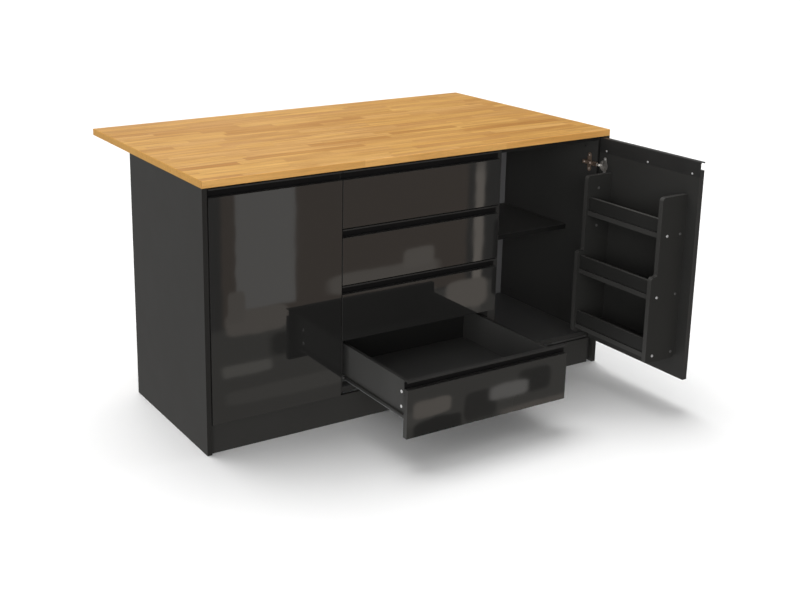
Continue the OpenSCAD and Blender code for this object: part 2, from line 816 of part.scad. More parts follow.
// The moving half: an angle under and beside the drawer side, whose upper flange
// runs on the fixed roller, with a roller of its own at the rear.
module moving_runner() {
    translate([0, front_t, 0]) along_y(runner_len)
        polygon([[runner_room - runner_wall, -runner_wall],
                 [runner_room + box_strip_w, -runner_wall],
                 [runner_room + box_strip_w, 0], [runner_room, 0],
                 [runner_room, runner_h], [runner_wall + roller_gap, runner_h],
                 [runner_wall + roller_gap, runner_h - runner_wall],
                 [runner_room - runner_wall, runner_h - runner_wall]]);
    roller(runner_wall + roller_gap, front_t + runner_len - roller_end_in);
    translate([runner_wall + roller_gap, front_t + runner_len - roller_end_in, roller_z])
        rod_x(runner_room - 2 * runner_wall - roller_gap, roller_axle_r);
}

module drawer_runners(n)
    at_drawer(n) color(RUNNER_GREY)
        translate([0, 0, box_lift]) both_runners() moving_runner();

// ---- Named pieces ----

module end_panel_left() end_panel(0);
module end_panel_right() end_panel(island_w - end_panel_t);
module left_unit_sides() shelved_sides(left_x, left_unit_w, left_shelf_setback);
module right_unit_sides() shelved_sides(right_x, right_unit_w, right_shelf_setback);
module left_unit_bottom() unit_bottom(left_x, left_unit_w);
module drawer_unit_bottom() unit_bottom(drawer_x, drawer_unit_w);
module right_unit_bottom() unit_bottom(right_x, right_unit_w);
module left_unit_back() unit_back(left_x, left_unit_w);
module drawer_unit_back() unit_back(drawer_x, drawer_unit_w);
module right_unit_back() unit_back(right_x, right_unit_w);
module left_unit_shelf() unit_shelf(left_x, left_unit_w, left_shelf_setback);
module right_unit_shelf() unit_shelf(right_x, right_unit_w, right_shelf_setback);
module left_door_board() in_frame() color(GLOSS) door_board(left_door_w);
module left_door_rail() in_frame() color(RAIL_BLACK) door_rail(left_door_w);
module left_door_hinge_cups() in_frame() color(NICKEL) hinge_cups();
module left_door_rail_screws() in_frame() color(NICKEL) rail_screws(left_door_w);
module left_hinge_links() in_frame() color(NICKEL) hinge_links(0);
module right_door_board()
    in_frame() at_right_door() color(GLOSS) door_board(right_door_w);
module right_door_rail()
    in_frame() at_right_door() color(RAIL_BLACK) door_rail(right_door_w);
module right_door_hinge_cups() in_frame() at_right_door() color(NICKEL) hinge_cups();
module right_door_rail_screws()
    in_frame() at_right_door() color(NICKEL) rail_screws(right_door_w);
module right_hinge_links()
    in_frame() right_hand() color(NICKEL) hinge_links(right_door_open);

worktop();
end_panel_left();
end_panel_right();
plinth_board();
rear_panel();
left_unit_sides();
drawer_unit_sides();
right_unit_sides();
left_unit_bottom();
drawer_unit_bottom();
right_unit_bottom();
left_unit_back();
drawer_unit_back();
right_unit_back();
top_stretchers();
left_unit_shelf();
right_unit_shelf();
shelf_pins();
hinge_arms();
cabinet_runners();
floor_glides();
carcass_screws();
left_door_board();
left_door_rail();
left_door_hinge_cups();
left_door_rail_screws();
left_hinge_links();
right_door_board();
right_door_rail();
right_door_hinge_cups();
right_door_rail_screws();
right_hinge_links();
right_door_rack_cheeks();
right_door_rack_trays();
right_door_rack_rails();
right_door_rack_screws();
drawer_front_board(1);  // drawer1_front_board
drawer_handle_rail(1);  // drawer1_handle_rail
drawer_box_sides(1);  // drawer1_box_sides
drawer_box_back(1);  // drawer1_box_back
drawer_box_bottom(1);  // drawer1_box_bottom
drawer_runners(1);  // drawer1_runners
drawer_front_board(2);  // drawer2_front_board
drawer_handle_rail(2);  // drawer2_handle_rail
drawer_box_sides(2);  // drawer2_box_sides
drawer_box_back(2);  // drawer2_box_back
drawer_box_bottom(2);  // drawer2_box_bottom
drawer_runners(2);  // drawer2_runners
drawer_front_board(3);  // drawer3_front_board
drawer_handle_rail(3);  // drawer3_handle_rail
drawer_box_sides(3);  // drawer3_box_sides
drawer_box_back(3);  // drawer3_box_back
drawer_box_bottom(3);  // drawer3_box_bottom
drawer_runners(3);  // drawer3_runners
drawer_front_board(4);  // drawer4_front_board
drawer_handle_rail(4);  // drawer4_handle_rail
drawer_box_sides(4);  // drawer4_box_sides
drawer_box_back(4);  // drawer4_box_back
drawer_box_bottom(4);  // drawer4_box_bottom
drawer_runners(4);  // drawer4_runners
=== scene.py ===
"""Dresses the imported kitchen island: its finishes, its fittings and a plain studio.

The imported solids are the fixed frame, in metres. Each sub-assembly below describes its
own pieces in millimetres, in a frame of its own, and a Place carries them to where the
solids lie, so that a piece rides on the body of the solids that it dresses.
"""

import json
import logging
import math
from collections.abc import Callable, Iterable, Sequence
from dataclasses import dataclass, field
from enum import Enum
from typing import Any

import bmesh
import bpy
from mathutils import Matrix, Vector

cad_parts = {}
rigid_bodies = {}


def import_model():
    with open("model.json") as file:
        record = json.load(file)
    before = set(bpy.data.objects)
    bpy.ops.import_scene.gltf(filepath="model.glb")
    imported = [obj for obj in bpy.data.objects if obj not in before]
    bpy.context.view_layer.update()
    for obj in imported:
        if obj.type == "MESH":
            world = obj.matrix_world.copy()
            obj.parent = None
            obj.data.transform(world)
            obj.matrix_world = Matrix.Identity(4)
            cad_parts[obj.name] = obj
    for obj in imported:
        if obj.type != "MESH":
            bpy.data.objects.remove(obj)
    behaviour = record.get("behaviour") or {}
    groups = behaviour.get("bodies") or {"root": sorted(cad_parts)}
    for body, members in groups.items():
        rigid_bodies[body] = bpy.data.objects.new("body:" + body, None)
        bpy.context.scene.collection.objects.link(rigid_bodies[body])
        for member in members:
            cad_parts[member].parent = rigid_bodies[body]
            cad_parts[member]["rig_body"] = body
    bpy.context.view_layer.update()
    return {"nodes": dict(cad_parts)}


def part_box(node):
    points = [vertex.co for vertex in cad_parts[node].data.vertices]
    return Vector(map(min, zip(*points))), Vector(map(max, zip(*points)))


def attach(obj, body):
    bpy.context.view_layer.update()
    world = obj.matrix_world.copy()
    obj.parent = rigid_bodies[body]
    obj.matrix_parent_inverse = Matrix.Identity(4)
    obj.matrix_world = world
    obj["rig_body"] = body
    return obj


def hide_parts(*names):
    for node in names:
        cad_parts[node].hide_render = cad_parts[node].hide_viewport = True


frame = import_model()

LOG = logging.getLogger("island")
MM = 0.001
WELD = 1e-6
FLAT_ANGLE = math.radians(1)
SHARP_ANGLE = math.radians(32)
ALONG = 0.7  # The least cosine between an axis and a face that looks along it
X_AXIS = Vector((1, 0, 0))
Y_AXIS = Vector((0, 1, 0))
Z_AXIS = Vector((0, 0, 1))

Colour = tuple[float, float, float]
Point2 = tuple[float, float]
Place3 = tuple[float, float, float]
Socket = bpy.types.NodeSocket
Inputs = dict[str | int, Any]
Ring = list[bmesh.types.BMVert]
Face = bmesh.types.BMFace
FaceTest = Callable[[Face], bool]


class Slot(Enum):
    """The record's material slots."""

    OAK = "oak_staves"
    PANEL = "anthracite_panel"
    INSIDE = "anthracite_inside"
    GLOSS = "black_gloss_front"
    RAIL = "black_rail"
    SCREW = "steel_screw"
    NICKEL = "nickel"
    RUNNER = "runner_grey"
    GLIDE = "glide_black"


class Hand(Enum):
    """The side of the island that a door hangs on."""

    LEFT = "left"
    RIGHT = "right"


# ---- Node graphs ----


class Graph:
    """Adds and links the nodes of one material or world."""

    def __init__(self, tree: bpy.types.NodeTree) -> None:
        """Starts on a node tree."""
        self.tree = tree

    @classmethod
    def cleared(cls, owner: bpy.types.Material | bpy.types.World) -> "Graph":
        """Starts afresh.

        Args:
            owner: The material or world that gets the nodes.

        Returns:
            Its graph, with no nodes yet.
        """
        owner.use_nodes = True
        owner.node_tree.nodes.clear()
        return cls(owner.node_tree)

    def feed(self, inputs: Any, values: Inputs) -> None:
        """Links or sets inputs.

        Args:
            inputs: The inputs of a node.
            values: What each gets, by name or number: another node's output or a value.
        """
        for key, value in values.items():
            if isinstance(value, bpy.types.NodeSocket):
                self.tree.links.new(value, inputs[key])
            else:
                inputs[key].default_value = value

    def node(self, kind: str, values: Inputs | None = None, **settings: Any) -> bpy.types.Node:
        """Adds a node.

        Args:
            kind: The node's type, without the ShaderNode that it starts with.
            values: What its inputs get. See feed.
            **settings: The node's own properties.

        Returns:
            The new node.
        """
        made = self.tree.nodes.new(f"ShaderNode{kind}")
        for name, value in settings.items():
            setattr(made, name, value)
        self.feed(made.inputs, values or {})
        return made

    def math(self, operation: str, *values: Any) -> Socket:
        """Works out a sum, product or the like."""
        return self.node("Math", dict(enumerate(values)), operation=operation).outputs[0]

    def blend(self, share: Any, first: Any, second: Any) -> Socket:
        """Mixes two colours, by the share of the second."""
        return self.node("Mix", {0: share, 6: first, 7: second}, data_type="RGBA").outputs[2]

    def scaled(self, vector: Any, scale: Sequence[float], shift: Any = (0, 0, 0)) -> Socket:
        """Stretches coordinates along each axis, and shifts them afterwards."""
        values = {0: vector, 1: tuple(scale), 2: shift}
        return self.node("VectorMath", values, operation="MULTIPLY_ADD").outputs[0]

    def noise(self, vector: Any, scale: float, detail: float = 2.0, warp: float = 0.0) -> Socket:
        """Adds noise, about 0 to 1, with some features a metre and some finer layers."""
        values = {"Vector": vector, "Scale": scale, "Detail": detail, "Distortion": warp}
        return self.node("TexNoise", values).outputs[0]

    def between(
        self, value: Any, low: float, high: float, to_low: Any = 0.0, to_high: Any = 1.0
    ) -> Socket:
        """Maps a range of values onto another, and holds the ends."""
        values = {0: value, 1: low, 2: high, 3: to_low, 4: to_high}
        return self.node("MapRange", values).outputs[0]

    def bump(self, height: Any, strength: float, depth: float) -> Socket:
        """Turns a height of 0 to 1 into a normal. A full height's depth is in metres."""
        values = {"Height": height, "Strength": strength, "Distance": depth}
        return self.node("Bump", values).outputs[0]

    def end(self, kind: str, share: Any, first: bpy.types.Node, second: bpy.types.Node) -> None:
        """Ends a Material or World in a mix of two shaders, by the share of the second."""
        shaders = {0: share, 1: first.outputs[0], 2: second.outputs[0]}
        self.node(f"Output{kind}", {"Surface": self.node("MixShader", shaders).outputs[0]})


def toned(colour: Colour, factor: float = 1.0) -> tuple[float, float, float, float]:
    """Makes a colour lighter or darker by a factor, and opaque."""
    return (*(part * factor for part in colour), 1.0)


def surface(name: str, shade: Callable[[Graph, Socket], Inputs]) -> bpy.types.Material:
    """Makes a material of nodes.

    Args:
        name: Its name.
        shade: Says what the surface shader gets, from the graph and the places on a piece.

    Returns:
        The material.
    """
    made = bpy.data.materials.new(name)
    made.use_nodes = True
    graph = Graph(made.node_tree)
    grid = graph.node("TexCoord").outputs["Object"]
    graph.feed(made.node_tree.nodes["Principled BSDF"].inputs, shade(graph, grid))
    return made


# ---- Finishes ----


@dataclass(frozen=True)
class Finish:
    """A surface finish, made once as a node material and then shared."""

    name: str  # The name of its material
    slot: Slot  # The record's slot that it belongs to; not used

    def material(self) -> bpy.types.Material:
        """Returns the finish's material, and makes it at the first call."""
        return bpy.data.materials.get(self.name) or surface(self.name, self.shade)

    def shade(self, graph: Graph, grid: Socket) -> Inputs:
        """Describes the surface.

        Args:
            graph: The material's nodes.
            grid: Places on the piece, in metres.

        Returns:
            What the inputs of its surface shader get.
        """
        raise NotImplementedError


@dataclass(frozen=True)
class OakStaves(Finish):
    """Oiled oak, glued up from short staves that run along X."""

    stave_w: float = 0.0366  # Width of a stave, in metres
    stave_l: float = 0.34  # Mean length of a stave, in metres
    pale: Colour = (0.680, 0.390, 0.098)  # The palest stave
    honey: Colour = (0.615, 0.326, 0.070)  # The middle tone
    deep: Colour = (0.430, 0.186, 0.027)  # The darkest stave
    blush: Colour = (0.630, 0.348, 0.120)  # The tone that some staves lean to
    roughness: float = 0.46  # Roughness of the oiled surface
    side_line: float = 0.0012  # Width of the glue line along a stave, in metres
    butt_line: float = 0.0005  # Width of the glue line at its ends, in metres

    def chance(self, graph: Graph, *keys: Any) -> Socket:
        """Draws a fixed random number, from 0 to 1, for up to three keys."""
        key = graph.node("CombineXYZ", dict(enumerate(keys))).outputs[0]
        return graph.node("TexWhiteNoise", {"Vector": key}, noise_dimensions="3D").outputs[0]

    def layered(self, graph: Graph, colour: Any, layers: Iterable[tuple]) -> Socket:
        """Lays tones over a colour.

        Args:
            graph: The material's nodes.
            colour: The colour to start from.
            layers: For each, a pattern, the values where it starts and is full, the share
                that it then has, and its tone.

        Returns:
            The colour with its layers.
        """
        for pattern, start, full, share, tone in layers:
            colour = graph.blend(graph.between(pattern, start, full, 0.0, share), colour, tone)
        return colour

    def shade(self, graph: Graph, grid: Socket) -> Inputs:
        """Describes the surface. See Finish.shade."""
        x, y, _ = graph.node("SeparateXYZ", {0: grid}).outputs

        # The row and the stave that a place lies in
        across = graph.math("DIVIDE", graph.math("ADD", y, 10.0), self.stave_w)
        row = graph.math("FLOOR", across)
        row_chance = self.chance(graph, row, 3.0, 1.0)
        length_chance = self.chance(graph, row, 7.0, 2.0)
        length = graph.between(length_chance, 0, 1, self.stave_l * 0.75, self.stave_l * 1.3)
        start = graph.math("MULTIPLY", row_chance, 9.0)
        along = graph.math("ADD", graph.math("DIVIDE", x, length), start)
        stave = graph.math("FLOOR", along)
        tone = self.chance(graph, row, stave, 5.0)
        figure = self.chance(graph, row, stave, 8.0)

        # Grain that starts anew in each stave
        offsets = {0: graph.math("MULTIPLY", tone, 40.0), 1: graph.math("MULTIPLY", figure, 30.0)}
        shift = graph.node("CombineXYZ", offsets).outputs[0]
        bands = graph.noise(graph.scaled(grid, (2.4, 34.0, 34.0), shift), 1.0, 4.0, 0.8)
        veins = graph.noise(graph.scaled(grid, (3.2, 62.0, 62.0), shift), 1.0, 3.0, 0.5)
        streaks = graph.noise(graph.scaled(grid, (7.0, 190.0, 190.0), shift), 1.0, 3.0)
        pores = graph.noise(graph.scaled(grid, (55.0, 1500.0, 1500.0), shift), 1.0, 1.0)

        ramp = graph.node("ValToRGB", {0: tone})
        stops = ramp.color_ramp.elements
        stops[0].color = toned(self.deep)
        stops[1].color = toned(self.pale)
        stops.new(0.26).color = toned(self.honey)
        layers = (
            (figure, 0.35, 1.0, 0.65, toned(self.blush)),
            (bands, 0.40, 0.64, 0.48, toned(self.deep, 0.92)),
            (veins, 0.47, 0.62, 0.55, toned(self.deep, 0.86)),
            (streaks, 0.48, 0.74, 0.45, toned(self.deep, 0.72)),
            # Large pale patches: tone that varies at random, made stronger to serve as a painted
            # sheen.
            (graph.noise(grid, 2.2, 1.0), 0.35, 0.7, 0.22, toned(self.pale, 1.08)),
            (pores, 0.58, 0.74, 0.30, toned(self.deep, 0.45)),
        )
        colour = self.layered(graph, ramp.outputs[0], layers)

        # Glue lines between the staves
        beside = graph.math("MULTIPLY", graph.math("PINGPONG", across, 0.5), self.stave_w)
        ahead = graph.math("MULTIPLY", graph.math("PINGPONG", along, 0.5), length)
        side = graph.between(beside, 0.0, self.side_line, 1.0, 0.0)
        butt = graph.between(ahead, 0.0, self.butt_line, 1.0, 0.0)
        line = graph.math("MAXIMUM", side, butt)
        strength = graph.between(row_chance, 0.3, 1.0, 0.15, 0.75)
        colour = self.layered(graph, colour, [(line, 0.0, 1.0, strength, toned(self.deep, 0.5))])

        # End grain: rings across each stave, a shade deeper than the faces
        ring_grid = graph.scaled(grid, (0.0, 1.0, 1.0), shift)
        rings = graph.noise(graph.scaled(ring_grid, (1.0, 260.0, 60.0)), 1.0, 3.0, 1.5)
        layers = (
            (rings, 0.4, 0.65, 0.5, toned(self.deep, 0.95)),
            (graph.noise(ring_grid, 1400.0, 1.0), 0.55, 0.75, 0.4, toned(self.deep, 0.55)),
            (tone, 0.0, 1.0, 0.25, toned(self.pale, 0.95)),
        )
        end_tone = self.layered(graph, toned(self.honey), layers)
        normal = graph.node("TexCoord").outputs["Normal"]
        facing_x = graph.node("SeparateXYZ", {0: normal}).outputs[0]
        on_end = graph.math("GREATER_THAN", graph.math("ABSOLUTE", facing_x), ALONG)

        pore_depth = graph.between(pores, 0.58, 0.74)
        relief = graph.math("SUBTRACT", graph.math("MULTIPLY", bands, 0.3), pore_depth)
        less, more = self.roughness - 0.05, self.roughness + 0.10
        return {
            "Base Color": graph.blend(on_end, colour, end_tone),
            "Roughness": graph.between(streaks, 0.3, 0.8, less, more),
            "Normal": graph.bump(graph.math("SUBTRACT", relief, line), 0.35, 0.00015),
            "Specular IOR Level": 0.38,
        }


@dataclass(frozen=True)
class Coloured(Finish):
    """A finish of one colour, which a fine and a coarse noise make uneven."""

    colour: Colour  # The mean colour
    roughness: float = 0.5  # The mean roughness

    def uneven(self, graph: Graph, share: Any, first: float, second: float) -> Socket:
        """Blends the colour from its first to its second tone."""
        return graph.blend(share, toned(self.colour, first), toned(self.colour, second))

    def worn(self, graph: Graph, spots: Any, full: float, less: float, more: float) -> Socket:
        """Spreads the roughness over the values of a noise, from 0.3 until it is full."""
        return graph.between(spots, 0.3, full, self.roughness + less, self.roughness + more)


@dataclass(frozen=True)
class Melamine(Coloured):
    """Matt melamine on board, with the fine pearl of its press plate."""

    roughness: float = 0.56
    specular: float = 0.32  # The strength of its sheen
    pearl: float = 0.25  # How deep the pearl shows

    def shade(self, graph: Graph, grid: Socket) -> Inputs:
        """Describes the surface. See Finish.shade."""
        pearl = graph.noise(grid, 1300.0)
        cloud = graph.noise(grid, 7.0, 3.0)
        spots = graph.math("MULTIPLY_ADD", pearl, 0.6, graph.math("MULTIPLY", cloud, 0.4))
        return {
            "Base Color": self.uneven(graph, graph.between(spots, 0.35, 0.65), 0.90, 1.10),
            "Roughness": self.worn(graph, cloud, 0.7, -0.03, 0.05),
            "Normal": graph.bump(pearl, self.pearl, 0.00008),
            "Specular IOR Level": self.specular,
        }


@dataclass(frozen=True)
class GlossFront(Coloured):
    """Black high-gloss lacquer, very slightly wavy as lacquered board is."""

    roughness: float = 0.032
    ior: float = 1.52  # The refractive index, which sets how much it mirrors
    wave: float = 0.05  # How strongly the waviness shows

    def shade(self, graph: Graph, grid: Socket) -> Inputs:
        """Describes the surface. See Finish.shade."""
        peel = graph.noise(grid, 260.0, 1.0)
        haze = graph.noise(grid, 4.0, 3.0)
        height = graph.math("MULTIPLY_ADD", peel, 0.02, graph.noise(grid, 11.0, 1.0))
        return {
            "Base Color": self.uneven(graph, haze, 0.92, 1.10),
            "Roughness": self.worn(graph, haze, 0.7, -0.2 * self.roughness, 0.3 * self.roughness),
            "Normal": graph.bump(height, self.wave, 0.002),
            "IOR": self.ior,
        }


@dataclass(frozen=True)
class CoatedMetal(Coloured):
    """Metal under a coat of powder or epoxy, with its fine peel."""

    roughness: float = 0.4
    specular: float = 0.5  # The strength of its sheen

    def shade(self, graph: Graph, grid: Socket) -> Inputs:
        """Describes the surface. See Finish.shade."""
        peel = graph.noise(grid, 900.0)
        share = graph.between(graph.noise(grid, 12.0), 0.35, 0.65)
        return {
            "Base Color": self.uneven(graph, share, 0.93, 1.07),
            "Roughness": self.worn(graph, peel, 0.7, -0.05, 0.05),
            "Normal": graph.bump(peel, 0.12, 0.00006),
            "Specular IOR Level": self.specular,
        }


@dataclass(frozen=True)
class PlatedMetal(Coloured):
    """Plated steel, turned or stamped, with faint tool marks and handling haze."""

    roughness: float = 0.28
    metal: float = 1.0  # 1 for bright plating, and less for a satin or passivated one

    def shade(self, graph: Graph, grid: Socket) -> Inputs:
        """Describes the surface. See Finish.shade."""
        marks = graph.noise(graph.scaled(grid, (2600.0, 2600.0, 320.0)), 1.0)
        haze = graph.noise(grid, 140.0, 3.0)
        return {
            "Base Color": self.uneven(graph, graph.between(haze, 0.35, 0.7), 1.04, 0.84),
            "Roughness": self.worn(graph, haze, 0.75, -0.06, 0.14),
            "Normal": graph.bump(marks, 0.10, 0.00004),
            "Metallic": self.metal,
        }


@dataclass(frozen=True)
class Moulded(Coloured):
    """Moulded plastic, with a fine eroded mould texture."""

    def shade(self, graph: Graph, grid: Socket) -> Inputs:
        """Describes the surface. See Finish.shade."""
        grain = graph.noise(grid, 1800.0)
        share = graph.between(graph.noise(grid, 60.0), 0.3, 0.7)
        return {
            "Base Color": self.uneven(graph, share, 0.94, 1.05),
            "Roughness": self.worn(graph, grain, 0.7, -0.06, 0.08),
            "Normal": graph.bump(grain, 0.2, 0.00005),
        }


OAK = OakStaves("oiled_oak_staves", Slot.OAK)
# A lighter, more orange copy of the oak for the worktop's front and back edges: painted light, so that
# these edges look as lit as the top.
OAK_LIT_EDGES = OakStaves(
    "oiled_oak_lit_edges",
    Slot.OAK,
    stave_w=0.05,
    stave_l=0.6,
    pale=(0.95, 0.54, 0.18),
    honey=(0.90, 0.49, 0.145),
    deep=(0.78, 0.38, 0.095),
    blush=(0.90, 0.50, 0.18),
)
PANEL = Melamine("panel_melamine", Slot.PANEL, (0.027, 0.0265, 0.0252))
PANEL_EDGE = Melamine("panel_edge_band", Slot.PANEL, (0.020, 0.0196, 0.0186), 0.46, 0.36, 0.08)
# A lighter copy of the panel melamine for the plinth: painted light, to lift it out of the worktop's
# shade.
PLINTH_PAINTED_LIGHT = Melamine("plinth_painted_light", Slot.PANEL, (0.035, 0.0345, 0.033))
RACK = Melamine("rack_melamine", Slot.PANEL, (0.026, 0.026, 0.0247))
# A lighter edge band for the rack's cheeks and trays: partly its own tone, partly a painted highlight
# on lit edges.
RACK_BAND_AND_HIGHLIGHT = Melamine("rack_band_and_painted_highlight", Slot.PANEL, (0.042, 0.0415, 0.040), 0.44, 0.42, 0.08)
# A darker copy for the faces of the rack's rails: painted shade.
RACK_BAR_SHADE = Melamine("rack_bar_painted_shade", Slot.PANEL, (0.018, 0.018, 0.0172))
# A much lighter copy for the edges of the rack's rails: painted highlight on their lit top edges.
RACK_BAR_HIGHLIGHT = Melamine("rack_bar_painted_highlight", Slot.PANEL, (0.056, 0.0555, 0.053), 0.44, 0.42, 0.08)
INSIDE = Melamine("inside_melamine", Slot.INSIDE, (0.046, 0.046, 0.0445))
INSIDE_EDGE = Melamine("inside_edge_band", Slot.INSIDE, (0.029, 0.029, 0.028), 0.44, 0.42, 0.08)
# A lighter copy of the inside melamine for the shelves and drawer bottoms: painted light on these
# upward faces.
HORIZONTAL_BOARD_LIT = Melamine("horizontal_board_painted_light", Slot.INSIDE, (0.060, 0.060, 0.059))
# The lightest copy, for the units' bottoms: painted light.
UNIT_BOTTOM_LIT = Melamine("unit_bottom_painted_light", Slot.INSIDE, (0.095, 0.095, 0.094), 0.46, 0.40)
# A near-black edge band for the stretchers and shelves: painted shade under the worktop and along the
# shelves' edges.
EDGE_BAND_SHADE = Melamine("edge_band_painted_shade", Slot.INSIDE, (0.013, 0.013, 0.0126), 0.50, 0.30, 0.08)
# A lighter copy of the inside melamine for the drawer boxes' sides: painted light.
DRAWER_SIDE_LIT = Melamine("drawer_side_painted_light", Slot.INSIDE, (0.060, 0.060, 0.0585))
BOX_BACK = Melamine("box_back_melamine", Slot.INSIDE, (0.015, 0.015, 0.0147))
BACK_BOARD = Melamine("back_board_melamine", Slot.INSIDE, (0.150, 0.150, 0.154))
GLOSS = GlossFront("black_gloss_lacquer", Slot.GLOSS, (0.019, 0.0188, 0.0183))
FRONT_EDGE = Melamine("front_edge_band", Slot.GLOSS, (0.038, 0.0376, 0.0364), 0.36, 0.42, 0.05)
FRONT_BACK = Melamine("front_back_melamine", Slot.GLOSS, (0.027, 0.027, 0.0258))
RAIL = CoatedMetal("black_rail_coat", Slot.RAIL, (0.026, 0.0257, 0.0252), 0.40, 0.45)
RAIL_BACK = CoatedMetal("black_rail_back_coat", Slot.RAIL, (0.021, 0.021, 0.0206), 0.46, 0.35)
# A near-black copy of the rail coat for the web inside the handle recess: painted shade.
RECESS_PAINTED_SHADE = CoatedMetal("black_recess_painted_shade", Slot.RAIL, (0.006, 0.006, 0.0063), 0.50, 0.20)
RUNNER_COAT = CoatedMetal("runner_epoxy", Slot.RUNNER, (0.170, 0.174, 0.174), 0.42)
RUNNER_SIDE = CoatedMetal("runner_side_coat", Slot.RUNNER, (0.034, 0.034, 0.033), 0.48)
ZINC = PlatedMetal("zinc_plating", Slot.SCREW, (0.78, 0.78, 0.79), 0.32, 0.6)
# Dark grey screw heads, much darker than the zinc ones.
DIM_GREY_SCREW = PlatedMetal("dim_grey_screw_heads", Slot.SCREW, (0.100, 0.100, 0.099), 0.55, 0.2)
BLACK_ZINC = PlatedMetal("black_zinc_plating", Slot.SCREW, (0.045, 0.045, 0.048), 0.40, 0.5)
CAM_CAP = PlatedMetal("cam_cap_zinc", Slot.SCREW, (0.86, 0.86, 0.86), 0.36, 0.35)
NICKEL = PlatedMetal("nickel_plating", Slot.NICKEL, (0.82, 0.79, 0.74), 0.24, 0.75)
# Nickel tinted warm brown and darkened: a painted reflection of the oak worktop and painted shade on
# the hinge arms.
NICKEL_OAK_REFLECTION = PlatedMetal("nickel_painted_oak_reflection", Slot.NICKEL, (0.34, 0.250, 0.195), 0.34, 0.6)
# Bright, nearly matt warm screw heads: painted glints on the hinges.
SCREW_GLINT = PlatedMetal("screws_painted_glint", Slot.NICKEL, (0.95, 0.84, 0.76), 0.34, 0.15)
CUP_STEEL = PlatedMetal("hinge_cup_steel", Slot.NICKEL, (0.36, 0.345, 0.325), 0.34, 0.6)
NYLON = Moulded("roller_nylon", Slot.RUNNER, (0.10, 0.10, 0.098), 0.38)
GLIDE = Moulded("glide_plastic", Slot.GLIDE, (0.016, 0.016, 0.016), 0.52)


# ---- Places and shapes ----


@dataclass(frozen=True)
class Place:
    """Where a sub-assembly's own frame, in millimetres, lies in the row frame."""

    body: str  # The body that its pieces ride on
    matrix: Matrix  # From the sub-assembly's frame to the row frame, in metres

    @classmethod
    def at(cls, body: str, corner: Vector) -> "Place":
        """Makes a body's place, from a corner in metres and along the row frame's axes."""
        return cls(body, Matrix.Translation(corner) @ Matrix.Scale(MM, 4))

    @classmethod
    def on_island(cls) -> "Place":
        """Makes the island's own place: X from the left panel, Y from the front."""
        return cls.at("island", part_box("end_panel_left")[0])

    @classmethod
    def on_door(cls, hand: Hand) -> "Place":
        """Makes a door's place: X from its hinge edge, Y from its face, Z from the floor.

        Args:
            hand: The side that the door hangs on. The right one stands open by 90
                degrees, so its frame is turned and mirrored.

        Returns:
            The place.
        """
        low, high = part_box(f"{hand.value}_door_board")
        if hand is Hand.LEFT:
            return cls.at("left_door", Vector((low.x, low.y, 0)))
        turned = Matrix(((0, -1, 0, high.x), (-1, 0, 0, high.y), (0, 0, 1, 0), (0, 0, 0, 1)))
        return cls("right_door", turned @ Matrix.Scale(MM, 4))

    @classmethod
    def on_drawer(cls, number: int) -> "Place":
        """Makes a drawer's place, from the lower left corner of its front's face."""
        return cls.at(f"drawer{number}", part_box(f"drawer{number}_front_board")[0])

    @property
    def outwards(self) -> Vector:
        """The direction that a front's face looks, in the row frame."""
        return -self.matrix.col[1].to_3d().normalized()

    def box(self, node: str) -> list[Vector]:
        """Finds a CAD node's lowest and highest corner in this frame, in millimetres."""
        corners = [self.matrix.inverted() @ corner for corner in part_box(node)]
        return [Vector(map(pick, *corners)) for pick in (min, max)]


def facing(axis: Vector, origin: Sequence[float]) -> Matrix:
    """Poses a turned shape, with its own Z along an axis and its origin at a point."""
    turn = axis.to_track_quat("Z", "Y").to_matrix().to_4x4()
    return Matrix.Translation(Vector(origin)) @ turn


def arc(centre: Point2, radius: float, start: float, end: float, steps: int) -> list[Point2]:
    """Lists the points of an arc between two angles in degrees, its ends among them."""
    angles = [math.radians(start + (end - start) * i / steps) for i in range(steps + 1)]
    return [(centre[0] + radius * math.cos(a), centre[1] + radius * math.sin(a)) for a in angles]


def shifted(ring: Ring) -> Ring:
    """Returns a ring that starts one vertex later."""
    return [*ring[1:], ring[0]]


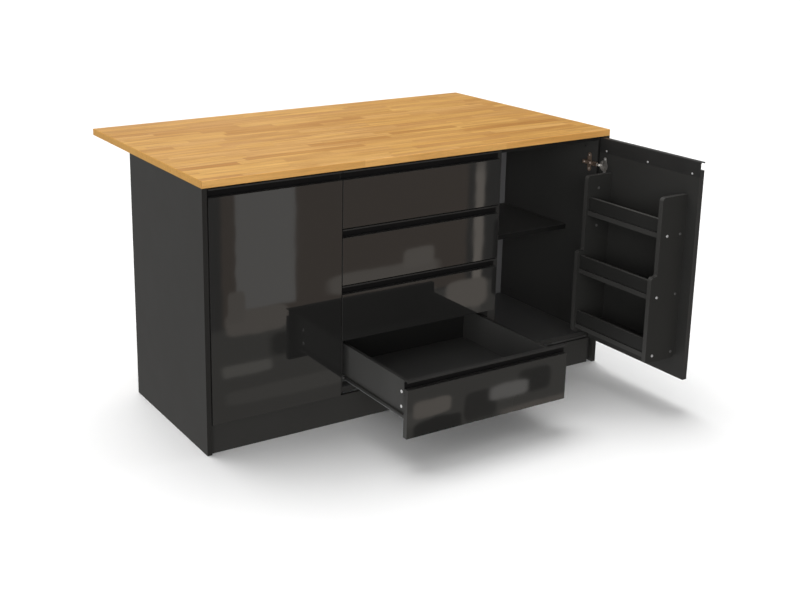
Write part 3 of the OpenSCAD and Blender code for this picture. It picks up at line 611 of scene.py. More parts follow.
@dataclass
class Shape:
    """A mesh in the making, from shapes in a sub-assembly's own frame."""

    place: Place  # Where the sub-assembly lies, and what it rides on
    mesh: bmesh.types.BMesh = field(default_factory=bmesh.new)  # The mesh so far
    finish: int = 0  # The number of the finish that new faces get
    made_here: bool = True  # Whether its faces are made here, and have yet to be turned outwards

    @classmethod
    def of_node(cls, node: str) -> "Shape":
        """Starts from a CAD node's mesh, welded and with its flat faces whole.

        Args:
            node: The node's name.

        Returns:
            The shape, in the row frame.
        """
        source = frame["nodes"][node]
        shape = cls(Place(source["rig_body"], Matrix.Identity(4)), made_here=False)
        mesh = shape.mesh
        mesh.from_mesh(source.data)
        bmesh.ops.remove_doubles(mesh, verts=mesh.verts, dist=WELD)
        bmesh.ops.dissolve_limit(mesh, angle_limit=FLAT_ANGLE, verts=mesh.verts, edges=mesh.edges)
        return shape

    def ring(self, points: Iterable[Vector]) -> Ring:
        """Adds vertices at points of the sub-assembly's frame."""
        return [self.mesh.verts.new(self.place.matrix @ point) for point in points]

    def face(self, corners: Sequence[bmesh.types.BMVert]) -> None:
        """Adds a face in the finish in use."""
        self.mesh.faces.new(corners).material_index = self.finish

    def join(self, first: Ring, second: Ring) -> None:
        """Adds the faces between two rings with as many vertices."""
        for corners in zip(first, shifted(first), shifted(second), second):
            self.face(corners)

    def sweep(self, outline: Sequence[Point2], length: float) -> None:
        """Sweeps an outline along X into a solid.

        Args:
            outline: Its points, in Y and Z.
            length: How far it is swept.
        """
        ends = [self.ring(Vector((x, y, z)) for y, z in outline) for x in (0.0, length)]
        self.join(*ends)
        for end in ends:
            self.face(end)
        self.turn_outwards()

    def turn_outwards(self) -> None:
        """Turns the faces so that they look outwards."""
        bmesh.ops.recalc_face_normals(self.mesh, faces=self.mesh.faces)

    def paint(self, finish: int, chosen: FaceTest) -> "Shape":
        """Gives faces another of the piece's finishes.

        Args:
            finish: The number of the finish.
            chosen: Says whether a face gets it.

        Returns:
            The shape itself.
        """
        for face in filter(chosen, self.mesh.faces):
            face.material_index = finish
        return self

    def piece(
        self,
        name: str,
        finishes: Sequence[Finish],
        soften: float = 0.0,
        steps: int = 2,
        replaces: str = "",
    ) -> None:
        """Ends the mesh and makes a piece of it that rides on its body.

        Args:
            name: The piece's name.
            finishes: Its finishes, by number.
            soften: The width of the rounding on its sharp edges, in millimetres.
            steps: The number of faces across that rounding.
            replaces: The CAD node that it stands for, if any.
        """
        if self.made_here:
            self.turn_outwards()
        data = bpy.data.meshes.new(name)
        self.mesh.to_mesh(data)
        self.mesh.free()
        for finish in finishes:
            data.materials.append(finish.material())
        data.shade_smooth()
        data.set_sharp_from_angle(angle=SHARP_ANGLE)
        made = bpy.data.objects.new(name, data)
        bpy.context.scene.collection.objects.link(made)
        if soften:
            soften_edges(made, soften, steps)
        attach(made, self.place.body)
        if replaces:
            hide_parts(replaces)
        LOG.info("%s rides on %s", name, self.place.body)


def soften_edges(piece: bpy.types.Object, width: float, steps: int = 2) -> None:
    """Rounds a piece's sharp edges with modifiers.

    Args:
        piece: The piece.
        width: The width of the rounding, in millimetres.
        steps: The number of faces across it.
    """
    bevel = piece.modifiers.new("rounded edges", "BEVEL")
    bevel.limit_method = "ANGLE"
    bevel.angle_limit = SHARP_ANGLE
    bevel.width = width * MM
    bevel.segments = steps
    bevel.miter_outer = "MITER_ARC"
    bevel.use_clamp_overlap = True
    normals = piece.modifiers.new("flat faces", "WEIGHTED_NORMAL")
    normals.keep_sharp = False
    normals.weight = 100


def carry(node: str, finish: Finish, soften: float) -> None:
    """Keeps a CAD node, with a finish and rounded edges.

    Args:
        node: The node's name.
        finish: Its finish.
        soften: The width of the rounding on its sharp edges, in millimetres.
    """
    piece = frame["nodes"][node]
    piece.data.materials[0] = finish.material()
    piece.modifiers.new("welded", "WELD").merge_threshold = WELD
    soften_edges(piece, soften)
    LOG.info("%s kept", node)


def faces_along(axis: Vector) -> FaceTest:
    """Makes a test for faces that look the way of an axis."""
    return lambda face: face.normal.dot(axis) > ALONG


def faces_beside(axis: Vector) -> FaceTest:
    """Makes a test for faces that stand square to an axis, such as a board's edges."""
    return lambda face: abs(face.normal.dot(axis)) < ALONG


# ---- Screws ----


@dataclass(frozen=True)
class PanScrew:
    """A pan-head screw with a cross recess. Its own Z runs along its shank."""

    head_r: float = 3.6  # Radius of the head
    head_h: float = 2.2  # Height of the head
    length: float = 0.0  # Length of the shank, or 0 where only the head is a piece
    shank_r: float = 2.0  # Radius over the thread
    pitch: float = 1.6  # Distance between two turns of the thread
    recess_r: float = 1.9  # Reach of the cross
    recess_w: float = 0.42  # Half the width of its arms
    recess_depth: float = 1.2  # Depth of the cross
    rim: float = 0.30  # The share of the head's height that is upright
    crown: float = 0.34  # The share of the head's radius by which its crown draws in
    core: float = 0.7  # The share of the thread's radius that its core has
    point_r: float = 0.15  # Radius of the point
    sides: int = 24  # The number of sides round the axis

    def shank(self) -> list[Point2]:
        """Lists the shank's outline from its point up to the head, by radius and height.

        Returns:
            The points, or none for a head alone.
        """
        if not self.length:
            return []
        core_r, cone = self.shank_r * self.core, 2 * self.shank_r
        points = [(self.point_r, self.length), (core_r, self.length - 0.8 * cone)]
        for turn in range(int((self.length - cone) / self.pitch)):
            low = self.length - cone - turn * self.pitch
            points += [(core_r, low), (self.shank_r, low - self.pitch * 0.45)]
        return [*points, (self.shank_r, 0.0)]

    def head(self) -> list[Point2]:
        """Lists the head's outline up to the edge of its top, by radius and height.

        Returns:
            The points.
        """
        points = [(self.head_r, 0.0)]
        for up in (0.0, 0.55, 0.85, 1.0):
            height = self.head_h * (self.rim + (1 - self.rim) * up)
            points.append((self.head_r * (1 - self.crown * up**2), -height))
        return points

    def cross(self, size: float, height: float) -> list[Vector]:
        """Lists the corners of the cross at a height.

        Args:
            size: The scale of the cross there.
            height: Where it lies, along the screw's own Z.

        Returns:
            Its twelve corners.
        """
        arm, half = self.recess_r * size, self.recess_w * (0.5 + 0.5 * size)
        corners = [Vector((x, y, height)) for x, y in ((arm, -half), (arm, half), (half, half))]
        quarters = [Matrix.Rotation(math.pi / 2 * number, 4, "Z") for number in range(4)]
        return [quarter @ corner for quarter in quarters for corner in corners]

    def build(self, shape: Shape, pose: Matrix) -> None:
        """Adds the screw to a shape.

        Args:
            shape: The shape.
            pose: Where the face under its head lies, with Z along its shank.
        """
        angles = [2 * math.pi * number / self.sides for number in range(self.sides)]
        rings = [
            shape.ring(pose @ Vector((r * math.cos(a), r * math.sin(a), h)) for a in angles)
            for r, h in (*self.shank(), *self.head())
        ]
        for lower, upper in zip(rings, rings[1:]):
            shape.join(lower, upper)
        shape.face(rings[0])

        mouth, floor = (
            shape.ring(pose @ corner for corner in self.cross(size, depth - self.head_h))
            for size, depth in ((1.0, 0.0), (0.45, self.recess_depth))
        )
        shape.join(mouth, floor)
        shape.face(floor)
        edges = [
            shape.mesh.edges.get(ends)
            for loop in (rings[-1], mouth)
            for ends in zip(loop, shifted(loop))
        ]
        top = bmesh.ops.triangle_fill(shape.mesh, edges=edges, use_beauty=True)["geom"]
        for face in (part for part in top if isinstance(part, Face)):
            face.material_index = shape.finish


@dataclass(frozen=True)
class ScrewSet:
    """The screws of one CAD node, each put exactly where its solid lies."""

    node: str  # The CAD node
    screw: PanScrew
    # Their finish, and that of those in the half towards +X, where it differs
    finishes: tuple[Finish, ...] = (ZINC,)

    def poses(self) -> list[Matrix]:
        """Finds each screw from the loose parts of the node's mesh.

        Returns:
            Their poses, in order of place.
        """
        source = Shape.of_node(self.node)
        left = set(source.mesh.verts)
        found = []
        while left:
            part = [left.pop()]
            for vertex in part:
                near = left.intersection(edge.other_vert(vertex) for edge in vertex.link_edges)
                left -= near
                part += near
            found.append(self.pose_of([vertex.co.copy() for vertex in part]))
        source.mesh.free()
        return sorted(found, key=lambda pose: tuple(round(x, 5) for x in pose.translation))

    def pose_of(self, points: list[Vector]) -> Matrix:
        """Finds the pose of one screw.

        Args:
            points: The vertices of its solid, in metres.

        Returns:
            Where the face under its head lies, in millimetres of the row frame.
        """
        low, high = (Vector(pick(p[i] for p in points) for i in range(3)) for pick in (min, max))
        centre, span = (low + high) / 2, high - low
        number = max(range(3), key=lambda i: span[i])
        axis = (X_AXIS, Y_AXIS, Z_AXIS)[number]
        shank_r = self.screw.shank_r * MM
        wide = [p[number] for p in points if (p - centre).cross(axis).length > 1.2 * shank_r]
        head_is_low = sum(wide) / len(wide) < centre[number]
        centre[number] = max(wide) if head_is_low else min(wide)
        return facing(axis if head_is_low else -axis, centre / MM)

    def dress(self) -> None:
        """Makes one piece of all the screws, which stands for the node."""
        shape = Shape(Place(frame["nodes"][self.node]["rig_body"], Matrix.Scale(MM, 4)))
        poses = self.poses()
        middle = sum(pose.translation.x for pose in poses) / len(poses)
        for pose in poses:
            shape.finish = int(len(self.finishes) > 1 and pose.translation.x > middle)
            self.screw.build(shape, pose)
        shape.piece(f"{self.node}_threaded", self.finishes, replaces=self.node)


# ---- Sub-assemblies ----


@dataclass(frozen=True)
class Board:
    """A melamine board, or a pair of them, with bands on its edges."""

    node: str  # The CAD node that it stands for
    across: Vector  # The direction of its thickness
    face: Finish = INSIDE  # The finish of its faces
    edge: Finish = INSIDE_EDGE  # The finish of its edge bands
    soften: float = 0.5  # The width of the rounding on its edges, in millimetres

    def dress(self) -> None:
        """Makes the board's piece."""
        shape = Shape.of_node(self.node).paint(1, faces_beside(self.across))
        shape.piece(f"{self.node}_banded", [self.face, self.edge], self.soften, replaces=self.node)


@dataclass
class Worktop:
    """The oak worktop."""

    soften: float = 0.9  # The width of the easing along its edges

    def dress(self) -> None:
        """Makes the worktop's piece."""
        # The front and back edges take the lighter oak copy: painted light.
        shape = Shape.of_node("worktop").paint(1, lambda face: abs(face.normal.y) > ALONG)
        shape.piece("worktop_oak", [OAK, OAK_LIT_EDGES], self.soften, 3, "worktop")


@dataclass
class Carcass:
    """The three units, the panels round them and what holds them together."""

    units: tuple[str, ...] = ("left_unit", "drawer_unit", "right_unit")  # The names of the units
    screw: PanScrew = PanScrew(length=28.0)

    def boards(self) -> list[Board]:
        """Lists the boards.

        Returns:
            The boards, with those of the units last.
        """
        boards = [
            Board("end_panel_left", X_AXIS, PANEL, PANEL_EDGE, 0.6),
            Board("end_panel_right", X_AXIS, PANEL, PANEL_EDGE, 0.6),
            # The plinth takes the lighter copy of the panel melamine: painted light.
            Board("plinth_board", Y_AXIS, PLINTH_PAINTED_LIGHT, PANEL_EDGE),
            Board("rear_panel", Y_AXIS, PANEL, PANEL_EDGE),
            # The stretchers and shelves have near-black edge bands: painted shade.
            Board("top_stretchers", Z_AXIS, INSIDE, EDGE_BAND_SHADE),
            Board("left_unit_shelf", Z_AXIS, HORIZONTAL_BOARD_LIT, EDGE_BAND_SHADE),
            Board("right_unit_shelf", Z_AXIS, HORIZONTAL_BOARD_LIT, EDGE_BAND_SHADE),
        ]
        for unit in self.units:
            boards.append(Board(f"{unit}_sides", X_AXIS))
            # The unit bottoms take the lightest inside copy: painted light.
            boards.append(Board(f"{unit}_bottom", Z_AXIS, UNIT_BOTTOM_LIT))
            boards.append(Board(f"{unit}_back", Y_AXIS, BACK_BOARD))
        return boards

    def dress(self) -> None:
        """Makes the carcass's pieces."""
        for board in self.boards():
            board.dress()
        carry("shelf_pins", NICKEL, 0.3)
        carry("floor_glides", GLIDE, 0.3)
        ScrewSet("carcass_screws", self.screw, (BLACK_ZINC,)).dress()


@dataclass
class Front:
    """A lacquered front, with a recessed handle rail of one bent profile along its top."""

    place: Place  # The front's place
    board: str  # The CAD node of its board
    rail: str  # The CAD node of its rail
    wall: float = 1.8  # The profile's thickness
    tip: float = 5.0  # How far the lip's front edge turns down
    fillet: float = 0.6  # Radius inside the lip's front edge
    bend: float = 4.0  # Radius inside the bend down the back
    reach: float = 50.0  # Height of the web down the back

    def outline(self) -> list[Point2]:
        """Draws the rail's profile.

        Returns:
            Its points, in Y and Z.
        """
        wall, round_r = self.wall, self.wall / 2
        back = self.place.box(self.board)[1].y
        top = self.place.box(self.rail)[1].z
        return [
            *arc((round_r, top - self.tip + round_r), round_r, 180, 360, 6),
            *arc((wall + self.fillet, top - wall - self.fillet), self.fillet, 180, 90, 4),
            *arc((back - wall - self.bend, top - wall - self.bend), self.bend, 90, 0, 10),
            (back - wall, top - self.reach),
            (back, top - self.reach),
            *arc((back - wall, top - wall), wall, 0, 90, 8),
            *arc((round_r, top - round_r), round_r, 90, 180, 6),
        ]

    def dress(self) -> None:
        """Makes the pieces of the board and the rail."""
        behind = faces_along(-self.place.outwards)
        board = Shape.of_node(self.board).paint(1, faces_beside(self.place.outwards))
        board.paint(2, behind)
        board.piece(f"{self.board}_lacquered", [GLOSS, FRONT_EDGE, FRONT_BACK], 0.7, 3, self.board)

        rail = Shape(self.place)
        rail.sweep(self.outline(), self.place.box(self.board)[1].x)
        ahead = faces_along(self.place.outwards)
        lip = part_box(self.rail)[1].z - 2 * self.tip * MM
        # The outward faces below the lip, the web inside the recess, get the near-black copy: painted
        # shade.
        rail.paint(1, lambda face: ahead(face) and face.calc_center_median().z < lip)
        rail.paint(2, behind)
        rail.piece(f"{self.rail}_profile", [RAIL, RECESS_PAINTED_SHADE, RAIL_BACK], 0.15, 2, self.rail)


@dataclass
class Door:
    """A door: its front, hinge cups and links."""

    hand: Hand  # The side that it hangs on
    cup_r: float = 18.5  # Radius of a hinge cup's rim
    wing_in: float = 6.0  # Distance from a cup's axis to its wing screws, across the door
    wing_up: float = 24.0  # Distance from a cup's axis to its wing screws, in height
    wing_end: float = 7.0  # Distance from these screws to the ends of the wings
    sink: float = 0.05  # How far these screws' heads are sunk
    rail_screw: PanScrew = PanScrew(head_h=0.8, length=10.0, recess_depth=0.55)
    wing_screw: PanScrew = PanScrew(head_r=3.4, head_h=1.1, recess_r=1.7, recess_depth=0.8)

    def dress(self) -> None:
        """Makes the door's pieces."""
        door = f"{self.hand.value}_door"
        place = Place.on_door(self.hand)
        Front(place, f"{door}_board", f"{door}_rail").dress()
        ScrewSet(f"{door}_rail_screws", self.rail_screw).dress()
        carry(f"{door}_hinge_cups", CUP_STEEL, 0.2)
        carry(f"{self.hand.value}_hinge_links", NICKEL, 0.2)

        shape = Shape(place)
        low, high = place.box(f"{door}_hinge_cups")
        half = self.wing_up + self.wing_end
        for centre in (low.z + half, high.z - half):
            for up in (-self.wing_up, self.wing_up):
                spot = (low.x + self.cup_r + self.wing_in, high.y - self.sink, centre + up)
                self.wing_screw.build(shape, facing(-Y_AXIS, spot))
        shape.piece(f"{door}_cup_screws", [ZINC])


@dataclass
class HingeArms:
    """The hinges' arms and plates on the sides of the units, with their screws."""

    wall_in: float = 32.0  # Distance from an end panel's outer face to the board they stand on
    front_in: float = 19.0  # Distance from the front plane to the unit's front edges
    plate_t: float = 1.5  # Thickness of the plate
    plate_line: float = 37.0  # Distance from the unit's front edge to the plate's screws
    plate_wing: float = 24.0  # Distance from the hinge's middle to the plate's screws
    plate_end: float = 9.0  # Distance from these screws to the plate's ends
    arm_h: float = 12.0  # Height of the arm over the board
    arm_len: float = 60.0  # Length of the arm
    screw_in: float = 10.0  # Distance from the ends of the arm to its adjusting screws
    plate_screw: PanScrew = PanScrew(head_r=3.3, head_h=1.4, recess_r=1.6, recess_depth=0.8)
    adjuster: PanScrew = PanScrew(head_r=3.3, head_h=1.4, recess_r=1.9, recess_depth=0.9)

    def dress(self) -> None:
        """Makes the pieces of the arms."""
        # The arms take the warm, darkened nickel: painted oak reflection and painted shade.
        carry("hinge_arms", NICKEL_OAK_REFLECTION, 0.25)
        place = Place.on_island()
        width = place.box("end_panel_right")[1].x
        low, high = place.box("hinge_arms")
        half = self.plate_wing + self.plate_end
        plates, arms = Shape(place), Shape(place)
        for centre in (low.z + half, high.z - half):
            for wall, inwards in ((self.wall_in, 1), (width - self.wall_in, -1)):
                axis = X_AXIS * -inwards
                plate_x, arm_x = wall + inwards * self.plate_t, wall + inwards * self.arm_h
                for up in (-self.plate_wing, self.plate_wing):
                    spot = (plate_x, self.front_in + self.plate_line, centre + up)
                    self.plate_screw.build(plates, facing(axis, spot))
                for y in (self.arm_h + self.screw_in, self.arm_len - self.screw_in):
                    spot = (arm_x, self.front_in + y, centre)
                    self.adjuster.build(arms, facing(axis, spot))
        # Both sets of screw heads are painted bright: painted glints.
        plates.piece("hinge_plate_screws", [SCREW_GLINT])
        arms.piece("hinge_adjusting_screws", [SCREW_GLINT])


@dataclass
class SpiceRack:
    """The spice rack on the right door, which rides with the door."""

    bracket_in: float = 55.0  # Distance from the door to the screws inside its far cheek
    # Distances from the top of the cheeks down to these screws
    bracket_drops: tuple[float, float] = (45.0, 176.0)
    screw: PanScrew = PanScrew(head_r=4.8, length=40.0)
    bracket_screw: PanScrew = PanScrew(head_r=4.8, head_h=1.6, recess_r=1.6, recess_depth=0.9)

    def dress(self) -> None:
        """Makes the rack's pieces."""
        # The cheeks' and trays' lighter edge bands are partly a painted highlight.
        Board("right_door_rack_cheeks", Y_AXIS, RACK, RACK_BAND_AND_HIGHLIGHT, 0.9).dress()
        Board("right_door_rack_trays", Z_AXIS, RACK, RACK_BAND_AND_HIGHLIGHT, 0.9).dress()
        # The rails' faces are painted shade, and their edges a painted highlight.
        Board("right_door_rack_rails", X_AXIS, RACK_BAR_SHADE, RACK_BAR_HIGHLIGHT, 2.6).dress()
        ScrewSet("right_door_rack_screws", self.screw, (ZINC, DIM_GREY_SCREW)).dress()

        shape = Shape(Place.on_door(Hand.RIGHT))
        low, high = shape.place.box("right_door_rack_cheeks")
        inner = shape.place.box("right_door_rack_trays")[0].x
        for drop in self.bracket_drops:
            spot = (inner, low.y + self.bracket_in, high.z - drop)
            self.bracket_screw.build(shape, facing(-X_AXIS, spot))
        shape.piece("right_door_rack_bracket_screws", [DIM_GREY_SCREW])


@dataclass
class Runners:
    """Roller runners: nylon rollers, and channels that are dark but for their lower edge."""

    node: str  # Their CAD node
    pale_edge: float = 0.0  # Height of the pale coat along their lower edge
    tread_w: float = 6.0  # The least width of a roller's tread
    channel_l: float = 300.0  # The least length of a channel's face
    square: float = 0.01  # The cosine that a face square to an axis may have to it, at most
    slant: float = 0.05  # The cosine that a tread's faces have to both other axes, at least

    def dress(self) -> None:
        """Makes the runners' piece."""
        shape = Shape.of_node(self.node)
        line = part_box(self.node)[0].z + self.pale_edge * MM
        if self.pale_edge:
            parts = [*shape.mesh.verts, *shape.mesh.edges, *shape.mesh.faces]
            bmesh.ops.bisect_plane(shape.mesh, geom=parts, plane_co=(0, 0, line), plane_no=Z_AXIS)
        channel_l = self.channel_l * MM
        rollers = self.rollers(shape)
        shape.paint(2, lambda face: extent(face, 1) > channel_l and face.calc_center_median().z > line)
        shape.paint(1, lambda face: face in rollers)
        finishes = [RUNNER_COAT, NYLON, RUNNER_SIDE]
        shape.piece(f"{self.node}_coated", finishes, 0.25, 2, self.node)

    def rollers(self, shape: Shape) -> set[Face]:
        """Finds the faces of the rollers' treads and sides.

        Args:
            shape: The runners' shape.

        Returns:
            The faces.
        """
        tread_w = self.tread_w * MM
        treads = {
            face
            for face in shape.mesh.faces
            if abs(face.normal.x) < self.square
            and min(abs(face.normal.y), abs(face.normal.z)) > self.slant
            and extent(face, 0) > tread_w
        }
        near = {other for face in treads for edge in face.edges for other in edge.link_faces}
        return treads | {
            face
            for face in near
            if abs(face.normal.x) > 1 - self.square or extent(face, 0) > tread_w > extent(face, 1)
        }


def extent(face: Face, axis: int) -> float:
    """Measures a face along an axis, given by number, in metres."""
    places = [vertex.co[axis] for vertex in face.verts]
    return max(places) - min(places)


@dataclass
class Drawer:
    """One drawer: its front, handle rail, box and moving runners."""

    number: int  # Its number, from the top
    pale_edge: float = 2.2  # Height of the pale coat along its runners' lower edge
    cam_in: float = 52.0  # Distance from the front's back to the cams in the sides
    # Heights of the cams above the lower edge of the front
    cam_lifts: tuple[float, float] = (72.0, 119.0)
    cam: PanScrew = PanScrew(5.2, 1.5, recess_r=2.4, recess_w=0.6, recess_depth=1.0)

    def dress(self) -> None:
        """Makes the drawer's pieces."""
        drawer = f"drawer{self.number}"
        place = Place.on_drawer(self.number)
        Front(place, f"{drawer}_front_board", f"{drawer}_handle_rail").dress()
        # The box sides and bottom take lighter copies of the inside melamine: painted light.
        Board(f"{drawer}_box_sides", X_AXIS, DRAWER_SIDE_LIT).dress()
        Board(f"{drawer}_box_back", Y_AXIS, BOX_BACK).dress()
        Board(f"{drawer}_box_bottom", Z_AXIS, HORIZONTAL_BOARD_LIT, soften=0.3).dress()
        Runners(f"{drawer}_runners", self.pale_edge).dress()

        shape = Shape(place)
        low, high = place.box(f"{drawer}_box_sides")
        cam_y = place.box(f"{drawer}_front_board")[1].y + self.cam_in
        for lift in self.cam_lifts:
            for x, axis in ((low.x, X_AXIS), (high.x, -X_AXIS)):
                self.cam.build(shape, facing(axis, (x, cam_y, lift)))
        shape.piece(f"{drawer}_side_cams", [CAM_CAP])


# ---- Studio ----


def stage_sheet(
    name: str, corners: list[Place3], centre: Place3, look: bpy.types.Material, unseen: tuple[str, ...]
) -> None:
    """Makes a flat part of the stage.

    Args:
        name: Its name.
        corners: Its four corners, from its centre.
        centre: Its centre, in metres.
        look: Its material.
        unseen: The kinds of rays that don't meet it.
    """
    data = bpy.data.meshes.new(name)
    data.from_pydata(corners, [], [(0, 1, 2, 3)])
    data.materials.append(look)
    sheet = bpy.data.objects.new(name, data)
    sheet.location = centre
    bpy.context.scene.collection.objects.link(sheet)
    for kind in unseen:
        setattr(sheet, f"visible_{kind}", False)


@dataclass(frozen=True)
class Glow:
    """A soft pale shape that only reflections show, such as a softbox or a lit card."""

    name: str  # Its name
    centre: Place3  # Its centre, in metres
    size: Point2  # Its width and height, in metres
    radiance: float  # Its brightness
    tint: Colour = (1.0, 0.97, 0.93)  # Its colour
    fade: float = 0.1  # The share of its half size over which its edges fade
    rounded: bool = False  # Whether its corners are well rounded

    def build(self) -> None:
        """Makes the shape as a part of the stage."""
        corners = [(x * self.size[0], 0.0, z * self.size[1]) for x, z in HALVES]
        unseen = ("camera", "diffuse", "shadow", "transmission")
        stage_sheet(self.name, corners, self.centre, self.material(), unseen)

    def material(self) -> bpy.types.Material:
        """Makes the shape's material, which is clear beyond its faded edges.

        Returns:
            The material.
        """
        made = bpy.data.materials.new(self.name)
        graph = Graph.cleared(made)
        grid = graph.node("TexCoord").outputs["Object"]
        scale = (2 / self.size[0], 1.0, 2 / self.size[1])
        x, _, z = graph.node("SeparateXYZ", {0: graph.scaled(grid, scale)}).outputs
        sides = [graph.math("ABSOLUTE", side) for side in (x, z)]
        if self.rounded:
            powers = [graph.math("POWER", side, 5.0) for side in sides]
            reach = graph.math("POWER", graph.math("ADD", *powers), 0.2)
        else:
            reach = graph.math("MAXIMUM", *sides)
        share = graph.between(reach, 1.0 - self.fade, 1.0, 1.0, 0.0)
        light = graph.node("Emission", {"Color": toned(self.tint), "Strength": self.radiance})
        graph.end("Material", share, graph.node("BsdfTransparent"), light)
        return made


@dataclass(frozen=True)
class Lamp:
    """A wide soft lamp far off, which no gloss mirrors."""

    name: str  # Its name
    comes_from: Place3  # The direction that it shines from
    power: float  # Its strength
    width: float  # How wide it is seen from the floor, in degrees

    def build(self) -> None:
        """Makes the lamp."""
        data = bpy.data.lights.new(self.name, "SUN")
        data.energy = self.power
        data.angle = math.radians(self.width)
        data.color = LIGHT_TINT
        lamp = bpy.data.objects.new(self.name, data)
        lamp.rotation_euler = Vector(self.comes_from).to_track_quat("Z", "Y").to_euler()
        lamp.visible_glossy = False
        bpy.context.scene.collection.objects.link(lamp)


HALVES = ((-0.5, -0.5), (0.5, -0.5), (0.5, 0.5), (-0.5, 0.5))
LIGHT_TINT = (1.0, 0.992, 0.980)
WARM = (1.0, 0.80, 0.66)
PALE = (1.0, 0.90, 0.80)
CREAM = (1.0, 0.96, 0.88)
LAMPS = (
    Lamp("overhead_lamp", (0.03, 0.47, 1.0), 2.30, 46.0),
    Lamp("side_lamp", (1.0, 0.20, 0.8), 0.66, 50.0),
    Lamp("fill_lamp", (-0.45, -1.0, 0.04), 2.30, 50.0),
)
GLOWS = (
    Glow("far_panel", (1.4, -3.1, -0.6), (9.0, 6.0), 0.20, fade=0.5),
    Glow("dim_panel", (1.46, -3.0, -0.20), (1.72, 1.14), 0.50, WARM, 0.03),
    Glow("far_band", (1.40, -3.0, -1.18), (2.60, 0.84), 0.42, CREAM, 0.06),
    Glow("left_softbox", (-0.80, -3.05, 0.55), (1.5, 2.0), 0.50, fade=0.5),
    Glow("low_left_pane", (-2.70, -3.0, -0.95), (1.3, 1.1), 0.80, PALE, 0.4),
    Glow("right_pane", (5.1, 4.0, -2.3), (1.0, 1.8), 0.90, PALE, 0.3),
    Glow("back_pane", (0.80, 4.0, 1.90), (3.40, 2.40), 0.86, PALE, 0.6),
    Glow("high_pane", (1.90, 4.0, 3.60), (4.40, 1.80), 0.70, fade=0.6),
    Glow("tall_pane", (0.84, -2.9, -0.23), (0.385, 0.82), 1.20, fade=0.03),
    Glow("side_pane", (2.32, -2.9, -0.40), (0.085, 1.10), 1.60, PALE, 0.35),
    Glow("left_patch_wide", (0.77, -2.88, -0.70), (0.42, 0.16), 1.00, PALE, 0.12, True),
    Glow("left_patch_tall", (0.64, -2.875, -0.60), (0.12, 0.20), 0.92, PALE, 0.15, True),
    Glow("middle_patch_wide", (1.62, -2.88, -0.58), (0.84, 0.14), 1.00, PALE, 0.15, True),
    Glow("middle_patch_tall", (1.86, -2.875, -0.49), (0.24, 0.13), 1.10, PALE, 0.15, True),
    Glow("right_patch", (2.22, -2.87, -0.78), (0.34, 0.20), 1.20, PALE, 0.15, True),
    Glow("thin_patch", (1.64, -2.87, -0.70), (0.72, 0.035), 0.95, PALE, 0.15, True),
    Glow("low_patch_left", (0.70, -2.87, -0.97), (0.34, 0.08), 0.95, CREAM, 0.15, True),
    Glow("dark_patch_left", (0.98, -2.87, -0.86), (0.30, 0.16), 0.12, CREAM, 0.30, True),
    Glow("low_band", (0.98, -2.88, -1.14), (0.86, 0.10), 0.58, CREAM, 0.10, True),
    Glow("low_patch_middle", (1.46, -2.87, -1.09), (0.27, 0.11), 1.20, PALE, 0.10, True),
    Glow("dark_patch_low", (1.50, -2.87, -1.21), (0.34, 0.11), 0.10, CREAM, 0.08, True),
    Glow("dark_patch_middle", (1.80, -2.88, -1.15), (0.24, 0.18), 0.16, CREAM, 0.08, True),
    Glow("low_patch_right", (1.99, -2.87, -1.10), (0.30, 0.10), 1.30, fade=0.20, rounded=True),
    Glow("dark_patch_right", (2.18, -2.88, -1.08), (0.24, 0.15), 0.14, CREAM, 0.08, True),
    Glow("low_line", (2.20, -2.86, -1.23), (0.60, 0.06), 0.95, PALE, 0.20, True),
)


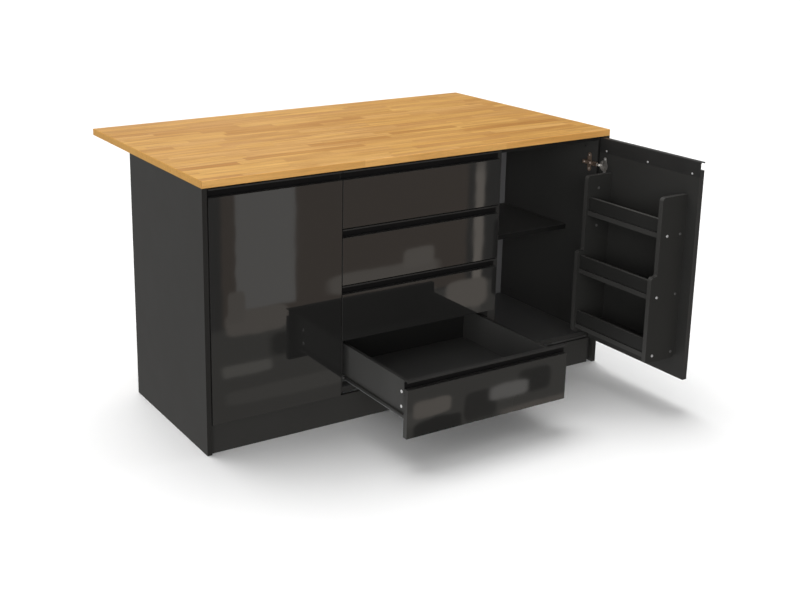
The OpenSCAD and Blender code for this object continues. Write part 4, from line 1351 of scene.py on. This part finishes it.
@dataclass
class Studio:
    """The camera, the floor and soft light from all round."""

    eye: Place3 = (-2.1397, -3.2294, 1.6445)  # The camera's place, in metres
    yaw: float = 29.533  # How far it turns from +Y towards +X, in degrees
    pitch: float = 15.077  # How far it looks down, in degrees
    sensor_w: float = 36.0  # The width of its sensor
    lens: float = 54.33  # Its focal length
    shift: Point2 = (0.12, -0.11)  # The framing's shift, in sensor widths
    across: Point2 = (0.12, 1.25)  # Radiance from the right and from the left
    along: Point2 = (0.30, 0.10)  # Radiance from the back and from the front
    upright: Point2 = (0.35, 0.15)  # Radiance from above and from below
    floor_tone: Colour = (0.968, 0.975, 0.985)  # The floor's colour
    floor_size: float = 60.0  # The floor's width, in metres
    floor_drop: float = 0.0003  # How far the floor lies under the object, in metres

    def camera(self) -> None:
        """Makes the scene's camera."""
        data = bpy.data.cameras.new("camera")
        data.sensor_width = self.sensor_w
        data.lens = self.lens
        data.shift_x, data.shift_y = self.shift
        camera = bpy.data.objects.new("camera", data)
        camera.location = self.eye
        camera.rotation_euler = (math.radians(90 - self.pitch), 0.0, -math.radians(self.yaw))
        bpy.context.scene.collection.objects.link(camera)
        bpy.context.scene.camera = camera

    def light_all_round(self) -> None:
        """Makes the light that comes from all round, and the white behind the object."""
        world = bpy.data.worlds.new("studio")
        graph = Graph.cleared(world)
        direction = graph.node("TexCoord").outputs["Generated"]
        axes = graph.node("SeparateXYZ", {0: direction}).outputs
        total: Any = 0.0
        for axis, (ahead, behind) in zip(axes, (self.across, self.along, self.upright)):
            is_behind = graph.math("LESS_THAN", axis, 0.0)
            radiance = graph.between(is_behind, 0.0, 1.0, ahead, behind)
            square = graph.math("MULTIPLY", axis, axis)
            total = graph.math("MULTIPLY_ADD", square, radiance, total)
        soft = graph.node("Background", {"Color": toned(LIGHT_TINT), "Strength": total})
        white = graph.node("Background", {"Color": (1.0, 1.0, 1.0, 1.0), "Strength": 1.0})
        seen = graph.node("LightPath").outputs["Is Camera Ray"]
        graph.end("World", seen, soft, white)
        bpy.context.scene.world = world

    def floor_look(self, graph: Graph, grid: Socket) -> Inputs:
        """Describes the floor's surface. See Finish.shade."""
        tones = [toned(self.floor_tone, factor) for factor in (0.995, 1.005)]
        colour = graph.blend(graph.noise(grid, 3.0), *tones)
        return {"Base Color": colour, "Roughness": 0.9, "Specular IOR Level": 0.0}

    def floor(self) -> None:
        """Makes the plain pale floor."""
        corners = [(x * self.floor_size, y * self.floor_size, 0.0) for x, y in HALVES]
        look = surface("studio_floor", self.floor_look)
        unseen = ("glossy", "diffuse", "transmission")
        stage_sheet("studio_floor", corners, (0.0, 0.0, -self.floor_drop), look, unseen)

    def build(self) -> None:
        """Makes the studio."""
        self.camera()
        self.light_all_round()
        self.floor()
        for light in (*LAMPS, *GLOWS):
            light.build()
        view = bpy.context.scene.view_settings
        view.view_transform = "Standard"
        view.look = "None"


def main() -> None:
    """Builds the sub-assemblies in order, and the studio round them."""
    logging.basicConfig(level=logging.INFO, format="%(name)s: %(message)s")
    Worktop().dress()
    Carcass().dress()
    for hand in Hand:
        Door(hand).dress()
    HingeArms().dress()
    SpiceRack().dress()
    Runners("cabinet_runners").dress()
    for number in range(1, 5):
        Drawer(number).dress()
    Studio().build()


if __name__ == "__main__":
    main()
